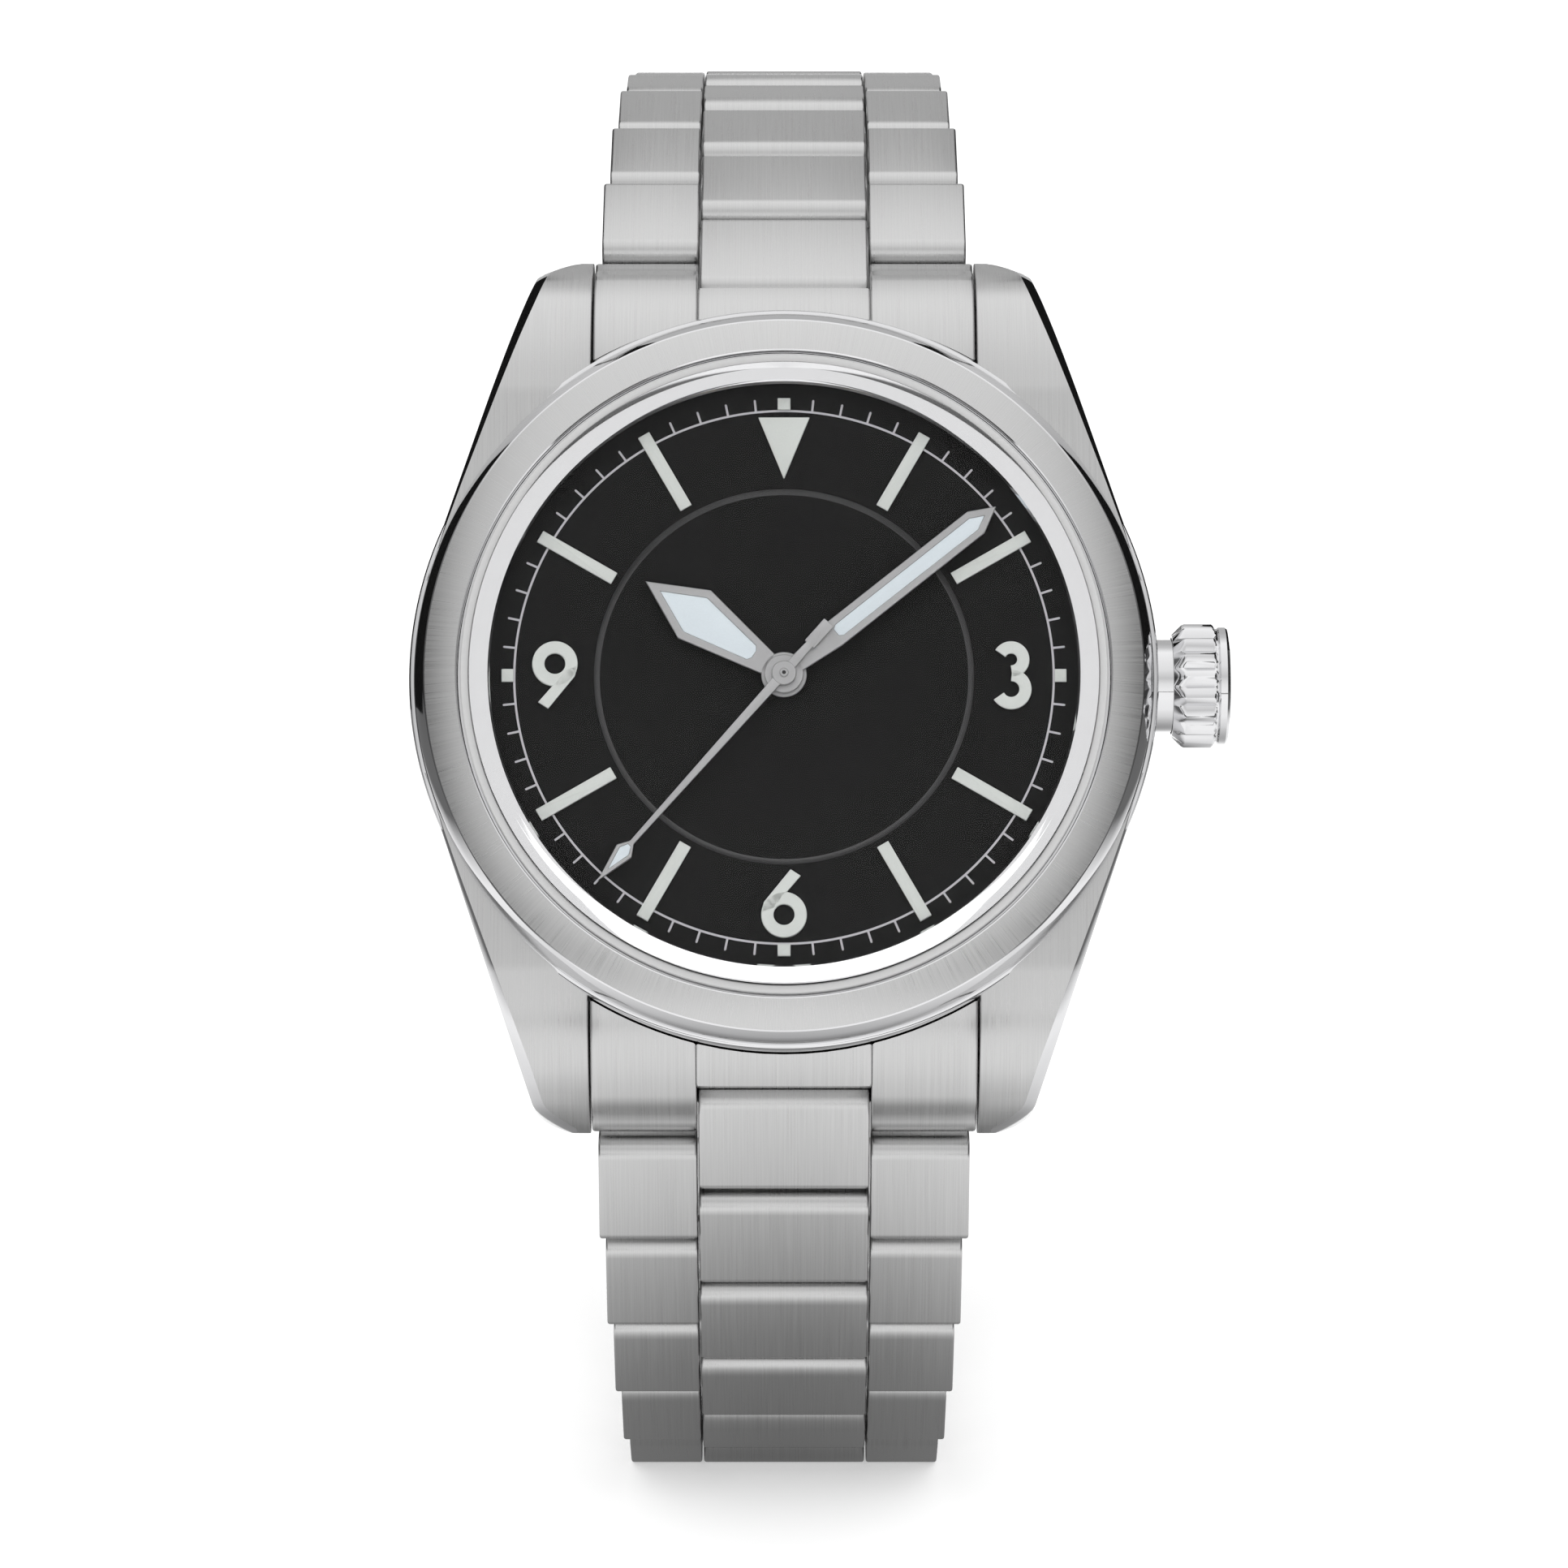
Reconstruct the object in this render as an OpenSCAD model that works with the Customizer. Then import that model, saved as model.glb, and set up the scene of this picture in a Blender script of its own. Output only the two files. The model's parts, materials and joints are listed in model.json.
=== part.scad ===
// Three-hand wristwatch on a three-piece-link steel bracelet, closed and standing
// on its bracelet loop. The head is drawn in its own frame (X to 3 o'clock, Y to
// 12 o'clock, Z out of the dial, Z = 0 at the bezel's inner rim) and placed last.

/* [Case] */
// Diameter of the case middle
case_d = 38.5; // [36:0.5:42]
// Outer diameter of the bezel's brushed face
bezel_face_d = 37; // [35.5:0.1:37.8]
// Diameter of the bezel's opening
bezel_open_d = 33.4; // [32:0.1:34]
// Height from the bezel's rim down to its seat on the case
bezel_h = 1.7; // [1.2:0.1:2.2]
// Height of the case middle
case_h = 6.5; // [6.2:0.1:8]
// Thickness of the case back outside the case
back_h = 1.5; // [1:0.1:2.5]
// Diameter of the bore that holds dial and movement
bore_d = 30.9; // [30.4:0.1:31.6]
// Distance between the lugs
lug_gap = 20; // [18:0.5:22]
// Distance from lug tip to lug tip
lug_to_lug = 46; // [44:0.5:48]

/* [Crystal and dial] */
// Diameter of the crystal
crystal_d = 32.2; // [31:0.1:32.6]
// Thickness of the crystal
crystal_t = 1.2; // [1:0.1:1.6]
// Diameter of the opening that shows the dial
rehaut_open_d = 29.9; // [29:0.1:30.2]
// Thickness of the dial
dial_t = 0.4; // [0.3:0.05:0.5]
// Diameter of the sunken centre of the dial
recess_d = 19.2; // [16:0.1:19.4]
// Height of the applied markers
marker_t = 0.2; // [0.1:0.02:0.22]
// Width of the baton markers
baton_w = 0.65; // [0.4:0.05:1]

/* [Hands] */
// Direction of the hour hand, clockwise from 12
hour_angle = 304.3; // [0:0.1:360]
// Direction of the minute hand, clockwise from 12
minute_angle = 51.4; // [0:0.1:360]
// Direction of the seconds hand, clockwise from 12
seconds_angle = 221.5; // [0:0.1:360]
// Length of the hour hand
hour_len = 8.5; // [6:0.1:9.4]
// Length of the minute hand
minute_len = 13.8; // [10:0.1:14]
// Length of the seconds hand
seconds_len = 14.2; // [11:0.1:14.5]
// Thickness of each hand
hand_t = 0.18; // [0.12:0.01:0.2]

/* [Crown] */
// Diameter of the crown
crown_d = 6.4; // [5.5:0.1:7]
// Length of the crown
crown_l = 2.9; // [2.5:0.1:3.5]
// Outer diameter of the crown tube
tube_d = 4.8; // [4.2:0.1:5]
// Diameter of the winding stem
stem_d = 0.9; // [0.7:0.05:1]
// How far the crown pulls out
crown_pull = 1.2; // [0.8:0.1:1.5]

/* [Bracelet] */
// Pitch of the links
pitch = 6; // [5.5:0.1:7]
// Gap between neighbouring blocks along the bracelet
link_gap = 0.2; // [0.15:0.01:0.3]
// Width of the centre blocks
centre_w = 8.8; // [7:0.1:10]
// Gap between centre and outer blocks
side_gap = 0.1; // [0.08:0.01:0.15]
// Width of the bracelet at the case
width_start = 19.8; // [17:0.1:20]
// Width of the bracelet at the clasp
width_end = 16; // [14:0.1:17]
// Loss of width from one link to the next
width_step = 0.6; // [0.2:0.05:0.8]
// Diameter of the link pins
pin_d = 1; // [0.8:0.05:1.2]
// Radial clearance of every pin in its hole
fit_gap = 0.03; // [0.02:0.005:0.08]

/* [Clasp] */
// Radius of the clasp's curve, measured to its hinge line
clasp_r = 60; // [50:1:90]
// Thickness of the clasp cover
cover_t = 1; // [0.8:0.05:1.2]
// Thickness of each folding blade
blade_t = 0.8; // [0.6:0.05:0.9]

/* [Stance] */
// Lean of the dial back from upright
lean = 22; // [15:1:25]

/* [Hidden] */
$fn = 96;
BODY_NODES = ["case_body", "bezel", "crystal", "crystal_gasket", "rehaut_ring", "dial",
    "hour_markers", "case_back", "case_back_gasket", "movement_ring", "crown_tube",
    "crown", "winding_stem", "crown_gasket", "hour_hand", "minute_hand", "seconds_hand",
    "main_plate", "train_bridge", "balance_bridge", "mainspring_barrel", "third_wheel",
    "fourth_wheel", "escape_wheel", "pallet_fork", "balance_wheel", "rotor",
    "hour_wheel", "cannon_pinion", "end_link_12", "end_link_6", "lug_spring_bars",
    "clasp_cover", "clasp_blade_outer", "clasp_blade_inner", "clasp_hinge_pin",
    "clasp_button_left", "clasp_button_right"];

steel = "silver";
dark_steel = "dimgray";
brass = "goldenrod";

// Heights in the head, from the bezel's rim down
face_drop = 0.5;                             // fall of the brushed face to its outer edge
case_top = -bezel_h;
case_bottom = case_top - case_h;
rehaut_top = -0.6;
dial_z = -1.9;
dial_under = dial_z - dial_t;
hour_z = dial_z + marker_t + 0.08;
minute_z = hour_z + hand_t + 0.12;
seconds_z = minute_z + hand_t + 0.1;
plate_top = dial_under - 0.05;
plate_t = 1.5;
plate_under = plate_top - plate_t;
bridge_top = plate_under - 1.6;
bridge_t = 0.8;
bridge_under = bridge_top - bridge_t;
rotor_t = 0.45;
rotor_top = bridge_under - 0.12;
stem_z = -4.8;

// Radii
case_r = case_d / 2;
bezel_r = bezel_face_d / 2;
bezel_flare = 0.5;
bezel_open_r = bezel_open_d / 2;
bore_r = bore_d / 2;
crystal_r = crystal_d / 2;
rehaut_r = rehaut_open_d / 2;
dial_r = bore_r - 0.05;
plate_r = 12.8;
back_r = 17.4;
loose = 0.05;                                // clearance of seated round pieces
crystal_seat = 0.95;                         // width of the ledge under the crystal's rim

// Markers
ring_r = dial_r - 1.75;
marker_out = dial_r - 1.1;
baton_in = dial_r - 5.45;
numeral_r = dial_r - 3.8;
stroke = 0.62;

// Lugs and bracelet
lug_tip = lug_to_lug / 2;
half_pitch = pitch / 2;
block_r = (half_pitch - link_gap) / 2;
pin_r = pin_d / 2;
hole_r = pin_r + fit_gap;
hinge_y = lug_tip - 1.5;
hinge_z = -7.25;
bar_y = lug_tip - 4.4;
bar_z = -6.6;
bar_r = 0.75;
end_gap = 0.1;
centre_half = centre_w / 2;
LINKS = 10;
flat = 90 + lean;
// Direction of each link, from the dial's plane towards the back
ANGLES_12 = [37, 46, 55, 64, 74, 85, 96, 108, 121, 136];
ANGLES_6 = [35, 46, 56.5, 66.5, 77, flat, flat, 122, 136, 150];

function width(k) = max(width_end, width_start - width_step * k);
// Hinge pin that follows link k, in the head's side view, for side = 1 (12) or -1 (6)
function hinge(angles, side, k) = k == 0 ? [side * hinge_y, hinge_z]
    : hinge(angles, side, k - 1) + pitch * [side * cos(angles[k - 1]), -sin(angles[k - 1])];
clasp_start = hinge(ANGLES_12, 1, LINKS);
clasp_end = hinge(ANGLES_6, -1, LINKS);
clasp_chord = norm(clasp_end - clasp_start);
clasp_sweep = 2 * asin(clasp_chord / 2 / clasp_r);
clasp_dir = atan2(clasp_end.y - clasp_start.y, clasp_end.x - clasp_start.x);
clasp_centre = (clasp_start + clasp_end) / 2
    + clasp_r * cos(clasp_sweep / 2) * [cos(clasp_dir - 90), sin(clasp_dir - 90)];

// The middle of the two level links stands on the floor at the origin
stand_pin = hinge(ANGLES_6, -1, 6);
function to_world(p) = [sin(lean) * p.x - cos(lean) * p.y, cos(lean) * p.x + sin(lean) * p.y];
stand_at = to_world(stand_pin);

// ---------- helpers ----------
module placed() translate([0, -stand_at.x, block_r - stand_at.y]) rotate([90 - lean, 0, 0]) children();
module ring(r_in, r_out, z, h) translate([0, 0, z]) difference() {
    cylinder(r = r_out, h = h);
    translate([0, 0, -1]) cylinder(r = r_in, h = h + 2);
}
module disc(r, z, h) translate([0, 0, z]) cylinder(r = r, h = h);
// Extrude an outline drawn in the side view (Y, Z) to a width centred on x
module side(w, x = 0) translate([x, 0, 0]) rotate([90, 0, 90]) linear_extrude(w, center = true) children();
module cross_pin(p, r, w, x = 0) translate([x, p.x, p.y]) rotate([0, 90, 0]) cylinder(r = r, h = w, center = true);
// Point a shape at a clock angle
module clock(angle) rotate([0, 0, -angle]) children();
module at(p) translate([p.x, p.y, 0]) children();
module mirrored() { children(); mirror([1, 0, 0]) children(); }

// ---------- case ----------
lug_plan = [[lug_gap / 2, 4], [lug_gap / 2, lug_tip - 0.1], [12, lug_tip - 0.3],
    [12.9, lug_tip - 1.2], [case_r - 1.8, 8.2], [14, 4]];
lug_side = [[4, case_top], [15, case_top], [18, -2.2], [20.2, -3.2], [lug_tip - 1.2, -4.7],
    [lug_tip - 0.3, -6.2], [lug_tip, -7.4], [lug_tip - 0.2, -9.1], [lug_tip - 1.3, -9.8],
    [15, case_bottom], [4, case_bottom]];
module lug() intersection() {
    translate([0, 0, case_bottom - 2]) linear_extrude(case_h + 3) polygon(lug_plan);
    side(2 * case_d) polygon(lug_side);
}
module case_body() color(steel) difference() {
    union() {
        disc(case_r, case_bottom, case_h);
        for (flip = [0, 1]) mirror([0, flip, 0]) mirrored() lug();
    }
    disc(bore_r, case_bottom - 3, case_h + 6);
    for (s = [-1, 1]) cross_pin([s * bar_y, bar_z], bar_r + fit_gap, lug_gap + 2.4);
    translate([0, 0, stem_z]) rotate([0, 90, 0]) cylinder(r = tube_d / 2 + fit_gap, h = case_d);
    translate([case_r - 0.6, 0, stem_z]) rotate([0, 90, 0]) cylinder(r = crown_d / 2 + 0.25, h = 3);
}
module bezel() color(steel) rotate_extrude() polygon([[bezel_open_r, case_top], [bezel_open_r, 0],
    [bezel_r, -face_drop], [bezel_r + bezel_flare, case_top + 0.15],
    [bezel_r + bezel_flare, case_top]]);
module crystal() color("lightcyan", 0.3) rotate_extrude() polygon([[0, rehaut_top],
    [crystal_r, rehaut_top], [crystal_r, rehaut_top + crystal_t - 0.4],
    [crystal_r - 0.45, rehaut_top + crystal_t], [0, rehaut_top + crystal_t]]);
module crystal_gasket() color("whitesmoke") ring(crystal_r, bezel_open_r, rehaut_top, 0.5);
module rehaut_ring() color(steel) rotate_extrude() polygon([[rehaut_r, dial_z],
    [rehaut_r, rehaut_top - 0.15], [crystal_r - crystal_seat, rehaut_top], [bezel_open_r, rehaut_top],
    [bezel_open_r, case_top], [bore_r, case_top], [bore_r, dial_z]]);
module case_back() color(steel) difference() {
    union() {
        disc(back_r, case_bottom - back_h * 0.6, back_h * 0.6);
        disc(back_r - 1.6, case_bottom - back_h, back_h);
        disc(bore_r - loose, case_bottom, 0.5);
    }
    for (a = [0:60:300]) rotate([0, 0, a]) translate([back_r - 1.6, 0, case_bottom - back_h])
        cube([3, 2.4, back_h], center = true);
    ring(15.9, 16.6, case_bottom - 0.4, 1);
}
module case_back_gasket() color("black") ring(15.95, 16.55, case_bottom - 0.4, 0.4);
module movement_ring() color("gray") difference() {
    ring(plate_r + loose, bore_r - loose, dial_under - 3.4, 3.4);
    translate([0, 0, stem_z]) rotate([0, 90, 0]) cylinder(r = 1.1, h = case_d);
}

// ---------- dial ----------
module dial() color("black") rotate_extrude() polygon([[1, dial_under], [dial_r, dial_under],
    [dial_r, dial_z], [recess_d / 2, dial_z], [recess_d / 2 - 0.25, dial_z - 0.15],
    [1, dial_z - 0.15]]);
module raised() translate([0, 0, dial_z]) linear_extrude(marker_t) children();
module half_ring(r, from, to) intersection() {
    difference() {
        circle(r + stroke / 2);
        circle(r - stroke / 2);
    }
    polygon(concat([[0, 0]], [for (a = [from:(to - from) / 6:to]) 3 * r * [cos(a), sin(a)]]));
}
// A bowl with a straight slanted stem; the 9 is the same shape turned half round
module six() {
    translate([0, -0.6]) difference() {
        circle(1.15);
        circle(1.15 - stroke);
    }
    translate([-0.55, 0.05]) rotate([0, 0, -31]) translate([-stroke / 2, -0.5]) square([stroke, 2.3]);
}
module three() {
    translate([-0.1, 0.82]) half_ring(0.62, -88, 150);
    translate([-0.1, -0.7]) half_ring(0.72, -150, 88);
    translate([-0.55, -0.13]) square([0.6, stroke * 0.6]);
}
module hour_markers() color("white") raised() {
    for (h = [1, 2, 4, 5, 7, 8, 10, 11]) clock(30 * h)
        translate([-baton_w / 2, baton_in]) square([baton_w, marker_out - baton_in]);
    for (h = [0:3:9]) clock(30 * h) translate([-baton_w / 2, ring_r + 0.05])
        square([baton_w, marker_out - ring_r]);
    polygon([[-1.31, ring_r - 0.35], [1.31, ring_r - 0.35], [0, baton_in + 0.15]]);
    translate([numeral_r, 0]) three();
    translate([0, -numeral_r]) six();
    translate([-numeral_r, 0]) rotate([0, 0, 180]) six();
}

// ---------- hands ----------
// A flat hand with its filled opening, and a hub bored for its pipe
module hand(z, angle, hub_r, pipe_r) clock(angle) translate([0, 0, z]) {
    linear_extrude(hand_t) difference() {
        union() {
            children(0);
            circle(hub_r);
        }
        children(1);
        circle(pipe_r);
    }
    linear_extrude(hand_t * 0.8) children(1);
}
hour_pipe_r = 0.8;
minute_pipe_r = 0.5;
seconds_post_r = 0.2;
module hour_hand() color(steel) hand(hour_z, hour_angle, 1.15, hour_pipe_r) {
    polygon([[-0.45, 0.4], [-1.48, hour_len - 3], [0, hour_len], [1.48, hour_len - 3], [0.45, 0.4]]);
    polygon([[-0.3, 2], [-1.02, hour_len - 3.05], [0, hour_len - 0.95], [1.02, hour_len - 3.05],
        [0.3, 2]]);
}
module minute_hand() color(steel) hand(minute_z, minute_angle, 0.98, minute_pipe_r) {
    polygon([[-0.38, 0.3], [-0.7, 3.2], [-0.7, minute_len - 1.3], [0, minute_len],
        [0.7, minute_len - 1.3], [0.7, 3.2], [0.38, 0.3]]);
    polygon([[-0.33, 3.4], [-0.33, minute_len - 1.4], [0, minute_len - 0.8],
        [0.33, minute_len - 1.4], [0.33, 3.4]]);
}
module seconds_hand() color(steel) hand(seconds_z, seconds_angle, 0.62, seconds_post_r) {
    polygon([[-0.31, -3.45], [-0.31, -2.0], [-0.2, -1.9], [-0.25, 0], [-0.12, seconds_len - 2.7],
        [-0.5, seconds_len - 2], [0, seconds_len], [0.5, seconds_len - 2],
        [0.12, seconds_len - 2.7], [0.25, 0], [0.2, -1.9], [0.31, -2.0], [0.31, -3.45]]);
    polygon([[0, seconds_len - 2.5], [-0.28, seconds_len - 2], [0, seconds_len - 0.8],
        [0.28, seconds_len - 2]]);
}

// ---------- movement ----------
barrel_at = [0, 7.6];
third_at = [3.6, -4.4];
escape_at = [-3.9, -2.6];
balance_at = [-2.2, -8.2];
pallet_at = [-6.9, -5.6];
pivot_r = 0.14;
wheel_t = 0.2;
PIVOTS = [barrel_at, third_at, escape_at, balance_at, pallet_at];
// A wheel with notched rim and five crossings, on an arbor between plate and bridge
module wheel(r, teeth, z, arbor_r = 0.35) {
    translate([0, 0, z]) linear_extrude(wheel_t) difference() {
        circle(r);
        for (i = [0:teeth - 1]) rotate([0, 0, i * 360 / teeth]) translate([r, 0]) circle(r * 1.6 / teeth);
        for (i = [0:4]) rotate([0, 0, 72 * i]) translate([r * 0.55, 0]) circle(r * 0.2);
    }
    arbor(arbor_r);
}
module arbor(r) {
    disc(r, bridge_top + 0.05, plate_under - bridge_top - 0.1);
    disc(pivot_r, bridge_top - 0.3, plate_under - bridge_top + 0.6);
}
module pivot_holes(z, h) for (p = PIVOTS) at(p) disc(pivot_r + fit_gap, z, h);
module main_plate() color(steel) difference() {
    disc(plate_r, plate_under, plate_t);
    disc(hour_pipe_r + 1.7, plate_top - 0.5, 1);
    disc(hour_pipe_r + loose, plate_under - 1, plate_t + 2);
    pivot_holes(plate_under - 0.1, 0.5);
}
// Bridges stand on pillars beside the wheels
module bridge(outline_r, posts) {
    difference() {
        disc(outline_r, bridge_under, bridge_t);
        children();
    }
    for (p = posts) at(p) disc(0.9, bridge_top, plate_under - bridge_top);
}
module below_line(y) translate([-20, y - 40, bridge_under - 1]) cube([40, 40, 4]);
module above_line(y) translate([-20, y, bridge_under - 1]) cube([40, 40, 4]);
bridge_split = -3.6;
rotor_post_r = 0.75;
module train_bridge() color(steel) {
    bridge(plate_r - 0.4, [[-9, 3], [8.6, 4.6], [10.5, -1.8]]) {
        below_line(bridge_split);
        pivot_holes(bridge_top - 0.35, 1);
        disc(pivot_r + fit_gap, bridge_top - 0.35, 1);
    }
    disc(rotor_post_r, bridge_under - 0.3 - rotor_t, 0.3 + rotor_t);
    disc(1.1, bridge_under - 0.45 - rotor_t, 0.15);
}
module balance_bridge() color(steel) bridge(plate_r - 0.4, [[7.6, -7.2], [-8.6, -7.6]]) {
    above_line(bridge_split - 0.15);
    pivot_holes(bridge_top - 0.35, 1);
}
module mainspring_barrel() color(brass) at(barrel_at) {
    translate([0, 0, bridge_top + 0.2]) difference() {
        cylinder(r = 4.8, h = 1.1);
        translate([0, 0, 0.2]) ring(1.2, 4.5, 0, 0.7);
        for (i = [0:71]) rotate([0, 0, 5 * i]) translate([4.8, 0, -1]) cylinder(r = 0.12, h = 3, $fn = 12);
    }
    arbor(0.6);
}
module third_wheel() color(brass) at(third_at) wheel(2.7, 48, bridge_top + 0.35);
module fourth_wheel() color(brass) {
    translate([0, 0, bridge_top + 0.1]) linear_extrude(wheel_t) difference() {
        circle(2.6);
        for (i = [0:47]) rotate([0, 0, 7.5 * i]) translate([2.6, 0]) circle(0.08);
        for (i = [0:4]) rotate([0, 0, 72 * i]) translate([1.45, 0]) circle(0.5);
    }
    disc(seconds_post_r, bridge_top + 0.05, seconds_z + hand_t + 0.08 - bridge_top - 0.05);
    disc(pivot_r, bridge_top - 0.3, 0.6);
}
module escape_wheel() color(brass) at(escape_at) wheel(1.8, 15, bridge_top + 0.7, 0.25);
module pallet_fork() color(steel) at(pallet_at) {
    rotate([0, 0, 45]) translate([0, 0, plate_under - 0.4]) linear_extrude(0.2) {
        translate([-0.16, -1.2]) square([0.32, 2.4]);
        translate([-0.9, 0.7]) square([1.8, 0.35]);
        circle(0.45);
    }
    arbor(0.2);
}
module balance_wheel() color(brass) at(balance_at) {
    ring(3.1, 3.55, bridge_top + 0.35, 0.4);
    translate([0, 0, bridge_top + 0.5]) cube([6.5, 0.5, wheel_t], center = true);
    for (i = [1:4]) ring(0.45 + 0.4 * i, 0.55 + 0.4 * i, bridge_top + 0.08, 0.12);
    translate([0.5, -0.1, bridge_top + 0.08]) cube([1.7, 0.2, 0.12]);
    arbor(0.3);
    disc(0.52, bridge_top + 0.08, 0.3);
}
rotor_r = 12.4;
module rotor() color(steel) difference() {
    union() {
        ring(rotor_post_r + loose, 2.2, rotor_top - rotor_t, rotor_t);
        intersection() {
            ring(rotor_post_r + loose, rotor_r, rotor_top - rotor_t, rotor_t);
            translate([-20, 0, -30]) cube([40, 20, 60]);
        }
    }
    for (a = [50, 90, 130]) rotate([0, 0, a]) translate([6.4, 0, -30]) cylinder(r = 1.7, h = 60);
}
module hour_wheel() color(brass) {
    ring(minute_pipe_r + 0.1, hour_pipe_r, plate_top - 0.45, hour_z + hand_t - plate_top + 0.45);
    difference() {
        ring(hour_pipe_r, 2.3, plate_top - 0.42, 0.25);
        for (i = [0:29]) rotate([0, 0, 12 * i]) translate([2.3, 0, -5]) cylinder(r = 0.08, h = 5, $fn = 12);
    }
}
module cannon_pinion() color(steel) {
    ring(seconds_post_r + 0.08, minute_pipe_r, plate_under + 0.1, minute_z + hand_t - plate_under - 0.1);
}

// ---------- crown ----------
crown_x = case_r + 0.8;
tube_r = tube_d / 2;
tube_bore = 1.5;
post_r = 0.95;
post_l = 1.9;
post_end = 1.4;
crown_hollow = 0.9;
stem_x = 8.4;
module along_x(x) translate([x, 0, stem_z]) rotate([0, 90, 0]) children();
module crown_tube() color(steel) along_x(bore_r + 0.1) difference() {
    cylinder(r = tube_r, h = crown_x + 0.7 - bore_r - 0.1);
    translate([0, 0, -1]) cylinder(r = tube_bore, h = case_r);
}
module crown() color(steel) along_x(crown_x) {
    difference() {
        union() {
            cylinder(r1 = crown_d / 2 - 0.5, r2 = crown_d / 2, h = 0.5);
            translate([0, 0, 0.5]) cylinder(r = crown_d / 2, h = crown_l - 1.1);
            translate([0, 0, crown_l - 0.6]) cylinder(r1 = crown_d / 2 - 0.1, r2 = crown_d / 2 - 0.6, h = 0.6);
        }
        translate([0, 0, -1]) cylinder(r = tube_r + 0.1, h = 1 + crown_hollow);
        cylinder(r = post_r + fit_gap, h = post_end);
        for (i = [0:17]) rotate([0, 0, 20 * i]) translate([crown_d / 2 + 0.12, 0, -1])
            cylinder(r = 0.3, h = crown_l + 0.45);
    }
}
// The stem's thick end slides in the tube and is screwed into the crown
module winding_stem() color(steel) {
    along_x(stem_x) cylinder(r = stem_d / 2, h = crown_x - post_l - stem_x);
    along_x(crown_x - post_l) cylinder(r = post_r, h = post_l + post_end);
}
module crown_gasket() color("black") along_x(crown_x - 1.2) difference() {
    cylinder(r = tube_bore - loose, h = 0.7);
    translate([0, 0, -1]) cylinder(r = post_r + 0.03, h = 3);
}

// ---------- end links ----------
module end_outline() {
    polygon([[case_r - 3, -2.1], [case_r - 0.6, -2.6], [lug_tip - 2.4, -3.8], [lug_tip - 1.1, -5.3],
        [hinge_y + block_r * sin(35), hinge_z + block_r * cos(35)], [hinge_y, hinge_z - block_r],
        [case_r - 3, hinge_z - block_r]]);
    translate([hinge_y, hinge_z]) circle(block_r);
}
module end_link() {
    difference() {
        side(lug_gap - 2 * end_gap) end_outline();
        disc(case_r + end_gap, case_bottom - 2, 20);
        side(centre_w + 2 * side_gap) union() {
            translate([hinge_y, hinge_z]) circle(block_r + link_gap);
            translate([hinge_y, hinge_z - 3]) square([5, 8]);
            translate([hinge_y - 0.6, hinge_z]) square([5, 5]);
        }
        cross_pin([hinge_y, hinge_z], hole_r, 30);
        cross_pin([bar_y, bar_z], bar_r + fit_gap, 30);
    }
    cross_pin([hinge_y, hinge_z], pin_r, width_start - 1);
}
module end_link_12() color(steel) end_link();
module end_link_6() color(steel) mirror([0, 1, 0]) end_link();
module lug_spring_bars() color(steel) for (s = [-1, 1]) {
    cross_pin([s * bar_y, bar_z], bar_r, lug_gap - 0.6);
    cross_pin([s * bar_y, bar_z], bar_r - 0.25, lug_gap + 2.2);
}

// ---------- links ----------
// Outline of a block between two pins half a pitch apart, the first at 0
module block_outline() difference() {
    union() {
        circle(block_r);
        translate([half_pitch, 0]) circle(block_r);
        translate([0, -block_r]) square([half_pitch, 2 * block_r]);
    }
    circle(hole_r);
    translate([half_pitch, 0]) circle(hole_r);
}
module link_solids(w, pins) {
    outer_w = w / 2 - centre_half - side_gap;
    side(centre_w) block_outline();
    for (s = [-1, 1]) translate([0, half_pitch, 0])
        side(outer_w, s * (w / 2 - outer_w / 2)) block_outline();
    for (i = [1:pins]) cross_pin([i * half_pitch, 0], pin_r, w - 1);
}
module link(angles, side_sign, k) {
    start = hinge(angles, side_sign, k - 1);
    pins = side_sign < 0 && k == LINKS ? 1 : 2;
    color(steel) translate([0, start.x, start.y])
        rotate([side_sign > 0 ? -angles[k - 1] : 180 + angles[k - 1], 0, 0])
        link_solids(width(k), pins);
}

// ---------- clasp ----------
// Angle on the clasp's curve of a point a given arc length in from its 12 side
first_angle = clasp_dir + 90 + clasp_sweep / 2;
function arc_angle(s) = first_angle - s / clasp_r * 180 / PI;
clasp_len = clasp_sweep / 180 * PI * clasp_r;
function on_arc(s, r) = clasp_centre + r * [cos(arc_angle(s)), sin(arc_angle(s))];
// Part of a curved plate between radii r_in and r_out and arc lengths s0 and s1
module arc_plate(r_in, r_out, s0, s1, w, x = 0) translate([x, clasp_centre.x, clasp_centre.y])
    rotate([90, 0, 90]) rotate([0, 0, arc_angle(s1)]) translate([0, 0, -w / 2])
    rotate_extrude(angle = arc_angle(s0) - arc_angle(s1)) translate([r_in, 0]) square([r_out - r_in, w]);

cover_w = width_end + 1.2;
wall_t = 0.9;
cover_out = clasp_r + block_r + 0.4;
cover_in = cover_out - cover_t;
cover_edge = clasp_r - 1.6;
outer_top = clasp_r + 0.35;
inner_top = outer_top - blade_t - 0.3;
blade_w = cover_w - 2 * wall_t - 0.6;
fork_w = blade_w / 2;
pin_outer_s = clasp_len - 6.5;
pin_inner_s = 6.5;
knuckle_r = 1.15;
clasp_pin_r = 0.4;
outer_pin_r = clasp_r + 0.1;
outer_knuckle_r = 0.65;
end_knuckle_r = block_r - 0.25;
inner_pin_r = clasp_r - 0.75;
end_room = block_r + 0.35;
button_s = clasp_len / 2;
button_l = 6;

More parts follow.
